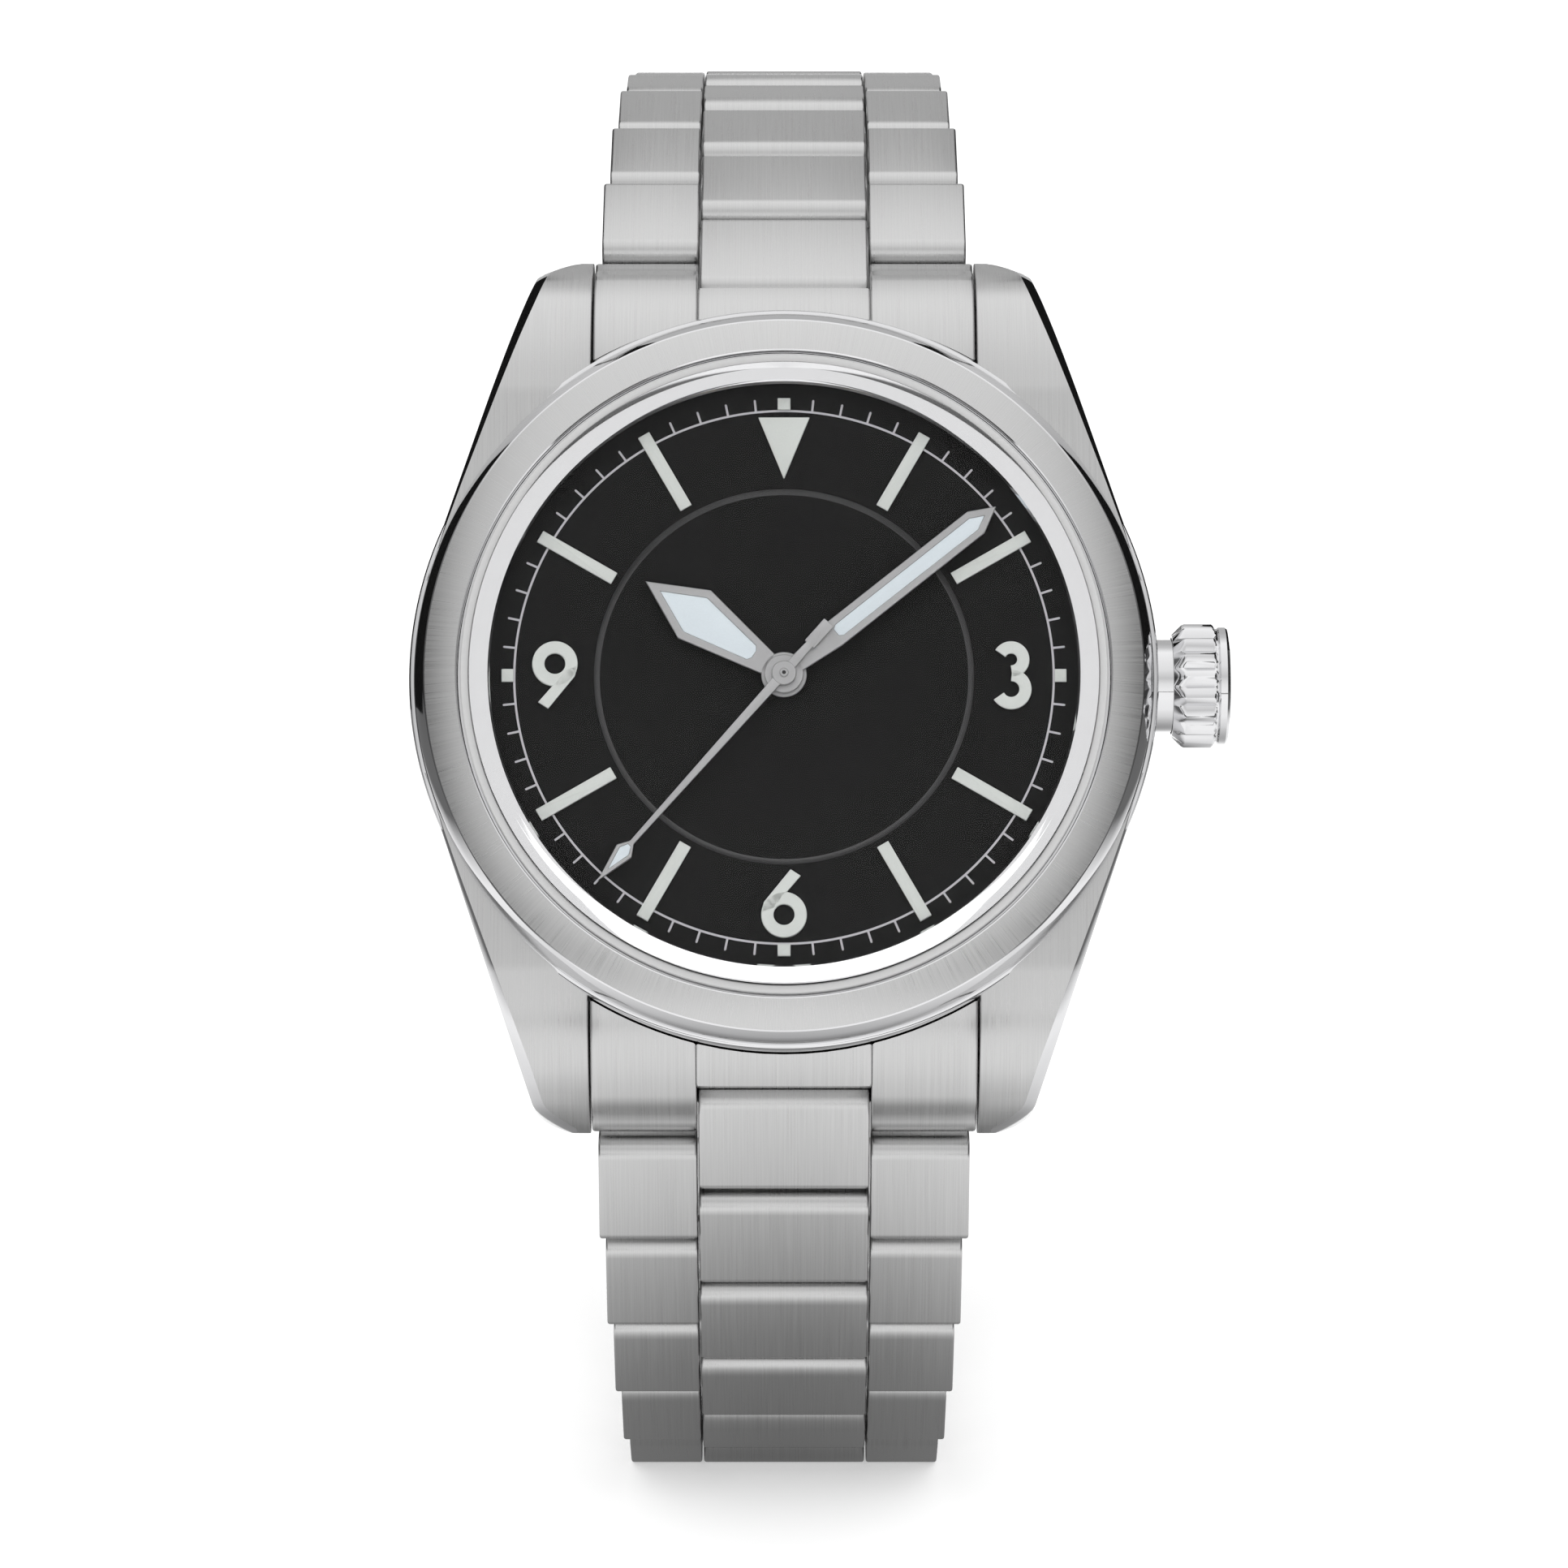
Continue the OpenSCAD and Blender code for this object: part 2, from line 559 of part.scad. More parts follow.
module clasp_cover() color(steel) {
    difference() {
        union() {
            arc_plate(cover_in, cover_out, end_room, clasp_len - end_room, cover_w);
            for (x = [-1, 1]) arc_plate(cover_edge, cover_out, end_room, clasp_len - end_room,
                wall_t, x * (cover_w - wall_t) / 2);
            cross_pin(on_arc(0, clasp_r), block_r, centre_w - 0.2);
            arc_plate(clasp_r - 0.6, cover_out - 0.1, 0.6, 3.4, centre_w - 0.2);
        }
        cross_pin(on_arc(0, clasp_r), hole_r, 30);
        cross_pin(on_arc(pin_outer_s, outer_pin_r), clasp_pin_r + fit_gap, 30);
        for (x = [-1, 1]) arc_plate(clasp_r - 1, clasp_r + 0.6, button_s - button_l / 2 - 0.1,
            button_s + button_l / 2 + 0.1, 3, x * cover_w / 2);
    }
}
module blade(top, w, s0, s1) arc_plate(top - blade_t, top, s0, s1, w);
// The outer blade is forked round the inner blade's knuckle and carries its pin
module clasp_blade_outer() color(steel) {
    difference() {
        union() {
            difference() {
                blade(outer_top, blade_w, pin_inner_s, pin_outer_s);
                arc_plate(outer_top - 3, outer_top + 1, 3, pin_inner_s + knuckle_r + 0.4, fork_w);
            }
            cross_pin(on_arc(pin_outer_s, outer_pin_r), outer_knuckle_r, blade_w);
            for (x = [-1, 1]) cross_pin(on_arc(pin_inner_s, inner_pin_r), knuckle_r,
                (blade_w - fork_w) / 2, x * (blade_w + fork_w) / 4);
        }
        cross_pin(on_arc(pin_outer_s, outer_pin_r), clasp_pin_r + fit_gap, 30);
        cross_pin(on_arc(pin_inner_s, inner_pin_r), clasp_pin_r + fit_gap, 30);
    }
    cross_pin(on_arc(pin_inner_s, inner_pin_r), clasp_pin_r, blade_w - 0.2);
}
module clasp_blade_inner() color(steel) {
    difference() {
        union() {
            blade(inner_top, fork_w - 0.4, pin_inner_s, clasp_len - 2.2);
            cross_pin(on_arc(pin_inner_s, inner_pin_r), knuckle_r - 0.1, fork_w - 0.2);
            arc_plate(inner_top - blade_t + 0.1, clasp_r + 0.3, clasp_len - 3.4, clasp_len - 0.7,
                centre_w - 1.2);
            cross_pin(on_arc(clasp_len, clasp_r), end_knuckle_r, centre_w - 0.4);
        }
        cross_pin(on_arc(pin_inner_s, inner_pin_r), clasp_pin_r + fit_gap, 30);
        cross_pin(on_arc(clasp_len, clasp_r), hole_r, 30);
    }
    cross_pin(on_arc(clasp_len, clasp_r), pin_r, centre_w - 0.4);
}
module clasp_hinge_pin() color(dark_steel)
    cross_pin(on_arc(pin_outer_s, outer_pin_r), clasp_pin_r, cover_w - 0.2);
module clasp_button(x) color(steel) arc_plate(clasp_r - 0.9, clasp_r + 0.5,
    button_s - button_l / 2, button_s + button_l / 2, 1.2, x * cover_w / 2);

placed() case_body();
placed() bezel();
placed() crystal();
placed() crystal_gasket();
placed() rehaut_ring();
placed() dial();
placed() hour_markers();
placed() case_back();
placed() case_back_gasket();
placed() movement_ring();
placed() crown_tube();
placed() crown();
placed() winding_stem();
placed() crown_gasket();
placed() hour_hand();
placed() minute_hand();
placed() seconds_hand();
placed() main_plate();
placed() train_bridge();
placed() balance_bridge();
placed() mainspring_barrel();
placed() third_wheel();
placed() fourth_wheel();
placed() escape_wheel();
placed() pallet_fork();
placed() balance_wheel();
placed() rotor();
placed() hour_wheel();
placed() cannon_pinion();
placed() end_link_12();
placed() end_link_6();
placed() lug_spring_bars();
placed() clasp_cover();
placed() clasp_blade_outer();
placed() clasp_blade_inner();
placed() clasp_hinge_pin();
placed() clasp_button(-1);  // clasp_button_left
placed() clasp_button(1);  // clasp_button_right
for (k = [1:LINKS]) {
    placed() link(ANGLES_12, 1, k);
    placed() link(ANGLES_6, -1, k);
}
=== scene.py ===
"""The looks of a steel three-hand wristwatch that stands on its closed bracelet."""
import json
import math

import bpy
from mathutils import Matrix, Vector


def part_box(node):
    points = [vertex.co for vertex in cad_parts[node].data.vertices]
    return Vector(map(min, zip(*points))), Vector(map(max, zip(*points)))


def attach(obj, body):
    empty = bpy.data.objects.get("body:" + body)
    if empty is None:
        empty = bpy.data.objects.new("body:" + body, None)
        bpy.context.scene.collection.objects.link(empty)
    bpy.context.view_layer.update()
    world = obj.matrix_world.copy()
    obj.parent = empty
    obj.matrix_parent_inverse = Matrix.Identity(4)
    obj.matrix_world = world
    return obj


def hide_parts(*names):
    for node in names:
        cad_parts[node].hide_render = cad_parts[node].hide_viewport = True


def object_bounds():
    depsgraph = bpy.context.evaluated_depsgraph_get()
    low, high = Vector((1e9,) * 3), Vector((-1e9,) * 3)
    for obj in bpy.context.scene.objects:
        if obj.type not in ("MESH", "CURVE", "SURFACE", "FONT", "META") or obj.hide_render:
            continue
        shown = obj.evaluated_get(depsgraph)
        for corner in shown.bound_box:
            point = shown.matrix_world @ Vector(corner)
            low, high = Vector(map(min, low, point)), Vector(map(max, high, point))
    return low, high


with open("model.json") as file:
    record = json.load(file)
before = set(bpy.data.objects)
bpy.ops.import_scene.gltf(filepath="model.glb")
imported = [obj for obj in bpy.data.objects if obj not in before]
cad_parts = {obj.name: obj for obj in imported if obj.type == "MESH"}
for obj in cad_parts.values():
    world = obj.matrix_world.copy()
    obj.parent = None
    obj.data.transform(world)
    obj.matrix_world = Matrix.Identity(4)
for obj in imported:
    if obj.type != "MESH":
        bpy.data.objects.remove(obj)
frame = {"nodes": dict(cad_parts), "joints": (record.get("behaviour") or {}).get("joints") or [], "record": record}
CAD_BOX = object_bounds()
JOINTS = {j["name"]: j for j in frame["joints"]}
MM = 0.001

# ---------- the head's own frame, taken from the hands' joint ----------
HUB_DEPTH = 4.0 * MM                      # the hands' joint lies this far below the bezel's rim
NORMAL = -Vector(JOINTS["seconds_turn"]["axis"]).normalized()
ACROSS = Vector((1, 0, 0))
NOON = NORMAL.cross(ACROSS).normalized()
RIM = Vector(JOINTS["seconds_turn"]["pos_m"]) + HUB_DEPTH * NORMAL
HEAD = Matrix.Translation(RIM) @ Matrix((ACROSS, NOON, NORMAL)).transposed().to_4x4()
SIDE = HEAD @ Matrix(((0, 0, 1, 0), (1, 0, 0, 0), (0, 1, 0, 0), (0, 0, 0, 1)))

# ---------- sizes, in millimetres, as the CAD model has them ----------
CASE_R = 19.25
CASE_TOP, CASE_BOTTOM = -1.7, -8.2
BEZEL_R, BEZEL_FOOT_R, BEZEL_OPEN_R = 18.5, 19.0, 16.7
FACE_DROP = 0.5
CRYSTAL_R, CRYSTAL_T = 16.1, 1.2
REHAUT_TOP, REHAUT_R = -0.6, 14.95
DIAL_Z, DIAL_T, DIAL_R = -1.9, 0.4, 15.4
RECESS_R, RECESS_DEPTH = 9.6, 0.15
RING_R, TICK_OUT = 13.65, 14.3
MARKER_T = 0.2
HAND_T = 0.18
HOUR_Z = DIAL_Z + MARKER_T + 0.08
MINUTE_Z = HOUR_Z + HAND_T + 0.12
SECONDS_Z = MINUTE_Z + HAND_T + 0.1
HOUR_ANGLE, MINUTE_ANGLE, SECONDS_ANGLE = 304.3, 51.4, 221.5
LUG_GAP, LUG_TIP = 20.0, 23.0
HINGE_Y, HINGE_Z = 21.5, -7.25
PITCH, LINK_GAP, SIDE_GAP = 6.0, 0.2, 0.1
HALF_PITCH = PITCH / 2
BLOCK_R = (HALF_PITCH - LINK_GAP) / 2
CENTRE_HALF = 4.4
WIDTH_START, WIDTH_END, WIDTH_STEP = 19.8, 16.0, 0.6
PIN_R = 0.5
LINKS = 10
STEM_Z = -4.8
CROWN_R, CROWN_X, CROWN_L = 3.2, CASE_R + 0.8, 2.9
TUBE_R = 2.4
FINE = 192                                # segments of a full turn


# ---------- materials ----------
def new_material(name, colour, metallic, roughness):
    mat = bpy.data.materials.new(name)
    mat.use_nodes = True
    shader = mat.node_tree.nodes["Principled BSDF"]
    shader.inputs["Base Color"].default_value = (*colour, 1)
    shader.inputs["Metallic"].default_value = metallic
    shader.inputs["Roughness"].default_value = roughness
    return mat, mat.node_tree, shader


def add(tree, kind, **values):
    node = tree.nodes.new(kind)
    for key, value in values.items():
        if key in node.inputs:
            node.inputs[key].default_value = value
        else:
            setattr(node, key, value)
    return node


def scratch_field(tree, source, scale, detail=3):
    """Noise that is stretched by the three numbers of scale, in 1/m or per UV unit."""
    coords = add(tree, "ShaderNodeTexCoord")
    mapping = add(tree, "ShaderNodeMapping")
    mapping.inputs["Scale"].default_value = scale
    noise = add(tree, "ShaderNodeTexNoise", Scale=1.0, Detail=detail, Roughness=0.65)
    tree.links.new(coords.outputs[source], mapping.inputs["Vector"])
    tree.links.new(mapping.outputs["Vector"], noise.inputs["Vector"])
    return noise.outputs["Fac"]


def spread(tree, field, low, high):
    remap = add(tree, "ShaderNodeMapRange")
    remap.inputs["From Min"].default_value = 0.3
    remap.inputs["From Max"].default_value = 0.7
    remap.inputs["To Min"].default_value = low
    remap.inputs["To Max"].default_value = high
    tree.links.new(field, remap.inputs["Value"])
    return remap.outputs["Result"]


def brushed(name, source, scale, tone=0.6, rough=(0.24, 0.42), depth=0.004, streak=0.05, stretch=0.0):
    """Steel with fine scratches across the direction in which scale is high; stretch widens highlights along U."""
    mat, tree, shader = new_material(name, (tone, tone, tone), 1.0, 0.3)
    if stretch:
        shader.inputs["Anisotropic"].default_value = stretch
        tangent = add(tree, "ShaderNodeTangent", direction_type="UV_MAP", uv_map="UVMap")
        tree.links.new(tangent.outputs["Tangent"], shader.inputs["Tangent"])
    field = scratch_field(tree, source, scale)
    tree.links.new(spread(tree, field, *rough), shader.inputs["Roughness"])
    ramp = add(tree, "ShaderNodeValToRGB")
    ramp.color_ramp.elements[0].position = 0.3
    ramp.color_ramp.elements[1].position = 0.7
    ramp.color_ramp.elements[0].color = (tone - streak, tone - streak, tone - streak, 1)
    ramp.color_ramp.elements[1].color = (tone + streak, tone + streak, tone + streak * 0.96, 1)
    tree.links.new(field, ramp.inputs["Fac"])
    tree.links.new(ramp.outputs["Color"], shader.inputs["Base Color"])
    bump = add(tree, "ShaderNodeBump", Strength=0.35, Distance=depth * MM)
    tree.links.new(field, bump.inputs["Height"])
    tree.links.new(bump.outputs["Normal"], shader.inputs["Normal"])
    return mat


def grained(name, colour, metallic, rough, scale, depth, tint=0.06, shine=0.5):
    """A finish with fine even grain: paint, lume, rubber or plain metal."""
    mat, tree, shader = new_material(name, colour, metallic, sum(rough) / 2)
    shader.inputs["Specular IOR Level"].default_value = shine
    field = scratch_field(tree, "Object", (scale, scale, scale), 4)
    tree.links.new(spread(tree, field, *rough), shader.inputs["Roughness"])
    ramp = add(tree, "ShaderNodeValToRGB")
    ramp.color_ramp.elements[0].position = 0.3
    ramp.color_ramp.elements[1].position = 0.7
    ramp.color_ramp.elements[0].color = (*[c * (1 - tint) for c in colour], 1)
    ramp.color_ramp.elements[1].color = (*[min(1, c * (1 + tint)) for c in colour], 1)
    tree.links.new(field, ramp.inputs["Fac"])
    tree.links.new(ramp.outputs["Color"], shader.inputs["Base Color"])
    bump = add(tree, "ShaderNodeBump", Strength=0.4, Distance=depth * MM)
    tree.links.new(field, bump.inputs["Height"])
    tree.links.new(bump.outputs["Normal"], shader.inputs["Normal"])
    return mat


def clear_glass(name):
    """Coated sapphire: it bends light, hardly mirrors it, and lets lamp light through to the dial."""
    mat, tree, shader = new_material(name, (1, 1, 1), 0.0, 0.0)
    shader.inputs["Transmission Weight"].default_value = 1.0
    shader.inputs["IOR"].default_value = 1.5
    bend = add(tree, "ShaderNodeBsdfRefraction", IOR=1.5, Roughness=0.0)
    coated = add(tree, "ShaderNodeMixShader", Fac=0.1)
    tree.links.new(bend.outputs["BSDF"], coated.inputs[1])
    tree.links.new(shader.outputs["BSDF"], coated.inputs[2])
    path = add(tree, "ShaderNodeLightPath")
    through = add(tree, "ShaderNodeBsdfTransparent")
    mix = add(tree, "ShaderNodeMixShader")
    tree.links.new(path.outputs["Is Shadow Ray"], mix.inputs["Fac"])
    tree.links.new(coated.outputs["Shader"], mix.inputs[1])
    tree.links.new(through.outputs["BSDF"], mix.inputs[2])
    tree.links.new(mix.outputs["Shader"], tree.nodes["Material Output"].inputs["Surface"])
    return mat


ALONG = (12000, 130, 130)                  # scratches run in the Y-Z plane, along the bracelet
STEEL = brushed("steel_lengthwise", "Object", ALONG, stretch=0.55)
STEEL_PLAIN = brushed("steel_lengthwise_plain", "Object", ALONG)
RADIAL = brushed("steel_radial", "UV", (14, 0.12, 1), tone=0.62, depth=0.0022, streak=0.045, stretch=0.55)
POLISHED = grained("steel_polished", (0.72, 0.72, 0.73), 1.0, (0.03, 0.07), 900, 0.0004, 0.01)
HAND = grained("hand_steel", (0.44, 0.44, 0.445), 0.55, (0.42, 0.5), 9000, 0.001, 0.03)
DIAL = grained("dial_black", (0.008, 0.008, 0.008), 0.0, (0.5, 0.66), 14000, 0.003, 0.35, shine=0.1)
DIAL_EDGE = grained("dial_black_edge", (0.035, 0.035, 0.036), 0.0, (0.3, 0.4), 14000, 0.002, 0.2, shine=0.5)
LUME = grained("lume_markers", (0.76, 0.79, 0.76), 0.0, (0.6, 0.75), 11000, 0.003, 0.02)
LUME_HANDS = grained("lume_hands", (0.82, 0.9, 0.95), 0.0, (0.6, 0.75), 11000, 0.003, 0.02)
PRINT = grained("track_print", (0.6, 0.59, 0.62), 0.0, (0.5, 0.6), 9000, 0.001, 0.02)
GLASS = clear_glass("crystal_clear")
GASKET = grained("gasket_white", (0.72, 0.72, 0.72), 0.0, (0.35, 0.45), 3000, 0.002, 0.02)
RUBBER = grained("gasket_black", (0.03, 0.03, 0.03), 0.0, (0.6, 0.7), 3000, 0.003, 0.1)
BRASS = grained("movement_gilt", (0.72, 0.55, 0.28), 1.0, (0.25, 0.35), 5000, 0.002, 0.06)
WORKS = grained("movement_steel", (0.55, 0.55, 0.57), 1.0, (0.25, 0.38), 5000, 0.002, 0.05)


# ---------- mesh helpers ----------
def solid(name, verts, faces, body, slot, mats, replaces=(), place=HEAD, sharp=35, picks=None, uvs=None,
          across_z=False):
    """One closed mesh, its points in millimetres in the frame given by place."""
    mesh = bpy.data.meshes.new(name)
    mesh.from_pydata([place @ (Vector(v) * MM) for v in verts], [], faces)
    for mat in mats:
        mesh.materials.append(mat)
    if picks:
        for polygon, pick in zip(mesh.polygons, picks):
            polygon.material_index = pick
    layer = mesh.uv_layers.new(name="UVMap")
    for number, polygon in enumerate(mesh.polygons):
        for k, loop in enumerate(polygon.loop_indices):
            x, y, z = verts[mesh.loops[loop].vertex_index]
            layer.data[loop].uv = uvs[number][k] if uvs else ((z, x) if across_z else (x, y + 0.3 * z))
    mesh.polygons.foreach_set("use_smooth", [True] * len(mesh.polygons))
    mesh.set_sharp_from_angle(angle=math.radians(sharp))
    mesh.validate()
    piece = bpy.data.objects.new(name, mesh)
    bpy.context.scene.collection.objects.link(piece)
    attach(piece, body)
    if replaces:
        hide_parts(*replaces)
    return piece


def lathe(profile, turns=FINE):
    """Points, faces, UVs and each face's segment number of a closed profile (r, z) turned about Z."""
    count = len(profile)
    verts = [(r * math.cos(a), r * math.sin(a), z)
             for a in (2 * math.pi * i / turns for i in range(turns)) for r, z in profile]
    lengths = [0]
    for (r0, z0), (r1, z1) in zip(profile, profile[1:] + profile[:1]):
        lengths.append(lengths[-1] + math.hypot(r1 - r0, z1 - z0))
    faces, uvs, segments = [], [], []
    for i in range(turns):
        for k in range(count):
            a, b = i * count + k, i * count + (k + 1) % count
            c, d = (i + 1) % turns * count + (k + 1) % count, (i + 1) % turns * count + k
            faces.append((a, d, c, b))
            u0, u1 = i * 110 / turns, (i + 1) * 110 / turns
            uvs.append([(u0, lengths[k]), (u1, lengths[k]), (u1, lengths[k + 1]), (u0, lengths[k + 1])])
            segments.append(k)
    return verts, faces, uvs, segments


def turned(name, profile, body, slot, mats, replaces, pick=None, place=HEAD, turns=FINE, sharp=35):
    verts, faces, uvs, segments = lathe(profile, turns)
    picks = [pick(k) for k in segments] if pick else None
    return solid(name, verts, faces, body, slot, mats, replaces, place, sharp, picks, uvs)


def arc(cx, cy, r, start, end, steps):
    """Points of an arc, its angles in degrees."""
    return [(cx + r * math.cos(math.radians(start + (end - start) * i / steps)),
             cy + r * math.sin(math.radians(start + (end - start) * i / steps))) for i in range(steps + 1)]


def inset(outline, distance):
    """The outline moved inwards by distance; it runs anticlockwise and has no sharp hollow corner."""
    moved = []
    for i, (x, y) in enumerate(outline):
        x0, y0 = outline[i - 1]
        x1, y1 = outline[(i + 1) % len(outline)]
        a, b = Vector((x - x0, y - y0)).normalized(), Vector((x1 - x, y1 - y)).normalized()
        normal = Vector((-(a.y + b.y), a.x + b.x))
        scale = normal.length_squared / 2
        moved.append((x + normal.x * distance / max(scale, 0.3), y + normal.y * distance / max(scale, 0.3)))
    return moved


def slab(outline, low, high, edge, steps=3, both=True):
    """A plate of the outline between two heights, its rims rounded by edge."""
    rings = []
    for i in range(steps + 1):
        a = math.pi / 2 * i / steps
        rings.append((inset(outline, edge * (1 - math.sin(a))), low + edge * (1 - math.cos(a))))
    if not both:
        rings = [(outline, low)]
    for i in range(steps, -1, -1):
        a = math.pi / 2 * i / steps
        rings.append((inset(outline, edge * (1 - math.sin(a))), high - edge * (1 - math.cos(a))))
    count = len(outline)
    verts = [(x, y, z) for ring, z in rings for x, y in ring]
    faces = [tuple(range(count - 1, -1, -1))]
    for k in range(len(rings) - 1):
        for i in range(count):
            j = (i + 1) % count
            faces.append((k * count + i, k * count + j, (k + 1) * count + j, (k + 1) * count + i))
    faces.append(tuple((len(rings) - 1) * count + i for i in range(count)))
    return verts, faces


def join(parts):
    """Several (verts, faces) as one."""
    verts, faces = [], []
    for part_verts, part_faces in parts:
        shift = len(verts)
        verts += part_verts
        faces += [tuple(i + shift for i in face) for face in part_faces]
    return verts, faces


def moved(part, matrix):
    return [tuple(matrix @ Vector(v)) for v in part[0]], part[1]


def clock(angle):
    return Matrix.Rotation(-math.radians(angle), 4, "Z")


# ---------- case ----------
def make_bezel():
    face = 4
    profile = [(BEZEL_OPEN_R, CASE_TOP), (BEZEL_OPEN_R, -0.1), (BEZEL_OPEN_R + 0.03, -0.03),
               (BEZEL_OPEN_R + 0.1, 0.0), (BEZEL_R - 0.12, -FACE_DROP + 0.035), (BEZEL_R - 0.04, -FACE_DROP - 0.01),
               (BEZEL_R, -FACE_DROP - 0.07), (BEZEL_R + 0.2, -FACE_DROP - 0.35), (BEZEL_R + 0.38, -FACE_DROP - 0.7),
               (BEZEL_FOOT_R, CASE_TOP + 0.1), (BEZEL_FOOT_R, CASE_TOP)]
    turned("bezel_ring", profile[::-1], "case", "brushed_steel", [POLISHED, RADIAL], ["bezel"],
           lambda k: 1 if k == len(profile) - 1 - face else 0, turns=256, sharp=20)


def make_crystal():
    top = REHAUT_TOP + CRYSTAL_T
    profile = [(0.001, REHAUT_TOP + 0.01), (CRYSTAL_R - 0.1, REHAUT_TOP + 0.01), (CRYSTAL_R - 0.02, REHAUT_TOP + 0.08),
               (CRYSTAL_R - 0.02, top - 0.42), (CRYSTAL_R - 0.08, top - 0.34), (CRYSTAL_R - 0.4, top - 0.04),
               (CRYSTAL_R - 0.5, top), (0.001, top)]
    turned("crystal_lens", profile, "case", "crystal", [GLASS], ["crystal"], sharp=25)


def make_rings():
    low = REHAUT_TOP
    gasket = [(CRYSTAL_R + 0.01, low), (BEZEL_OPEN_R - 0.14, low), (BEZEL_OPEN_R - 0.14, low + 0.44),
              (BEZEL_OPEN_R - 0.2, low + 0.5), (CRYSTAL_R + 0.06, low + 0.5), (CRYSTAL_R + 0.01, low + 0.45)]
    turned("crystal_gasket_ring", gasket, "case", "crystal_gasket", [GASKET], ["crystal_gasket"])
    rehaut = [(REHAUT_R, DIAL_Z + 0.01), (15.35, DIAL_Z + 0.01), (15.35, CASE_TOP), (BEZEL_OPEN_R - 0.02, CASE_TOP),
              (BEZEL_OPEN_R - 0.02, low - 0.02), (REHAUT_R + 0.35, low - 0.02), (REHAUT_R + 0.12, low - 0.08),
              (REHAUT_R, low - 0.22)]
    turned("rehaut", rehaut, "case", "polished_steel", [POLISHED], ["rehaut_ring"], sharp=30)


def smooth_path(points, steps):
    """A smooth curve (y, z) through the points, with steps pieces between each pair."""
    out = []
    for i in range(len(points) - 1):
        p0, p1, p2, p3 = (Vector(points[max(0, min(len(points) - 1, i + k))]) for k in (-1, 0, 1, 2))
        for step in range(steps):
            t = step / steps
            out.append(tuple(0.5 * (2 * p1 + (p2 - p0) * t + (2 * p0 - 5 * p1 + 4 * p2 - p3) * t ** 2
                                    + (3 * p1 - p0 - 3 * p2 + p3) * t ** 3)))
    return out + [points[-1]]


def lug_side(y):
    """Half width of the case across a lug at distance y from the middle."""
    shoulder, shoulder_x, corner, corner_x = 8.2, 17.45, 21.8, 12.9
    t = max(0.0, (y - corner) / (LUG_TIP - corner))
    return shoulder_x + (corner_x - shoulder_x) * (min(y, corner) - shoulder) / (corner - shoulder) - 1.0 * t - 1.1 * t * t


def lug_ring(top, bottom):
    """The points round a lug between a place (y, z) on its upper face and one on its lower face."""
    tall = top[1] - bottom[1]
    bevel = min(0.12 + 0.42 * max(0.0, min(1.0, (top[0] - 9) / 11)), 0.25 * tall)
    small = min(0.12, 0.15 * tall)
    inner = [(0, bottom[1] + small), (0, top[1] - small), (small * 0.3, top[1] - small * 0.3), (small, top[1])]
    outer = [(bevel + 0.03, top[1]), (bevel - 0.02, top[1] - 0.05), (0.02, top[1] - bevel * 1.25 - 0.02),
             (0, top[1] - bevel * 1.25 - 0.1), (0, bottom[1] + 0.3 * min(1, tall)),
             (0.15, bottom[1] + 0.1 * min(1, tall)), (0.5, bottom[1])]
    ring = []
    for way, places in ((1, inner), (-1, outer), (1, [(small, bottom[1])])):
        for dx, z in places:
            y = bottom[0] + (top[0] - bottom[0]) * (z - bottom[1]) / tall
            x = lug_side(y) if way < 0 else max(LUG_GAP / 2, math.sqrt(max(0.0, 16.2 ** 2 - y ** 2)))
            ring.append((x + way * dx, y, z))
    return ring


def lug_mesh():
    """A lug between its upper and lower side lines, which meet in a rounded tip."""
    upper = smooth_path([(5, CASE_TOP), (13.5, CASE_TOP), (15.6, CASE_TOP - 0.09), (18, -2.25), (20.2, -3.25),
                         (21.7, -4.7), (22.6, -6.2), (22.96, -7.3)], 5)
    lower = smooth_path([(5, CASE_BOTTOM), (13.5, CASE_BOTTOM), (15.6, -8.35), (18, -9.0), (20.2, -9.55),
                         (21.7, -9.78), (22.55, -9.35), (22.92, -8.2)], 5)
    rings = [lug_ring(top, bottom) for top, bottom in zip(upper, lower)]
    count = len(rings[0])
    verts = [point for ring in rings for point in ring]
    faces = [tuple(range(count)), tuple(range(len(verts) - 1, len(verts) - 1 - count, -1))]
    for k in range(len(rings) - 1):
        for i in range(count):
            j = (i + 1) % count
            faces.append((k * count + i, (k + 1) * count + i, (k + 1) * count + j, k * count + j))
    return verts, faces


def flip(part, x, y):
    """The part mirrored by the signs x and y, with its faces still facing out."""
    faces = part[1] if x * y > 0 else [face[::-1] for face in part[1]]
    return [(v[0] * x, v[1] * y, v[2]) for v in part[0]], faces


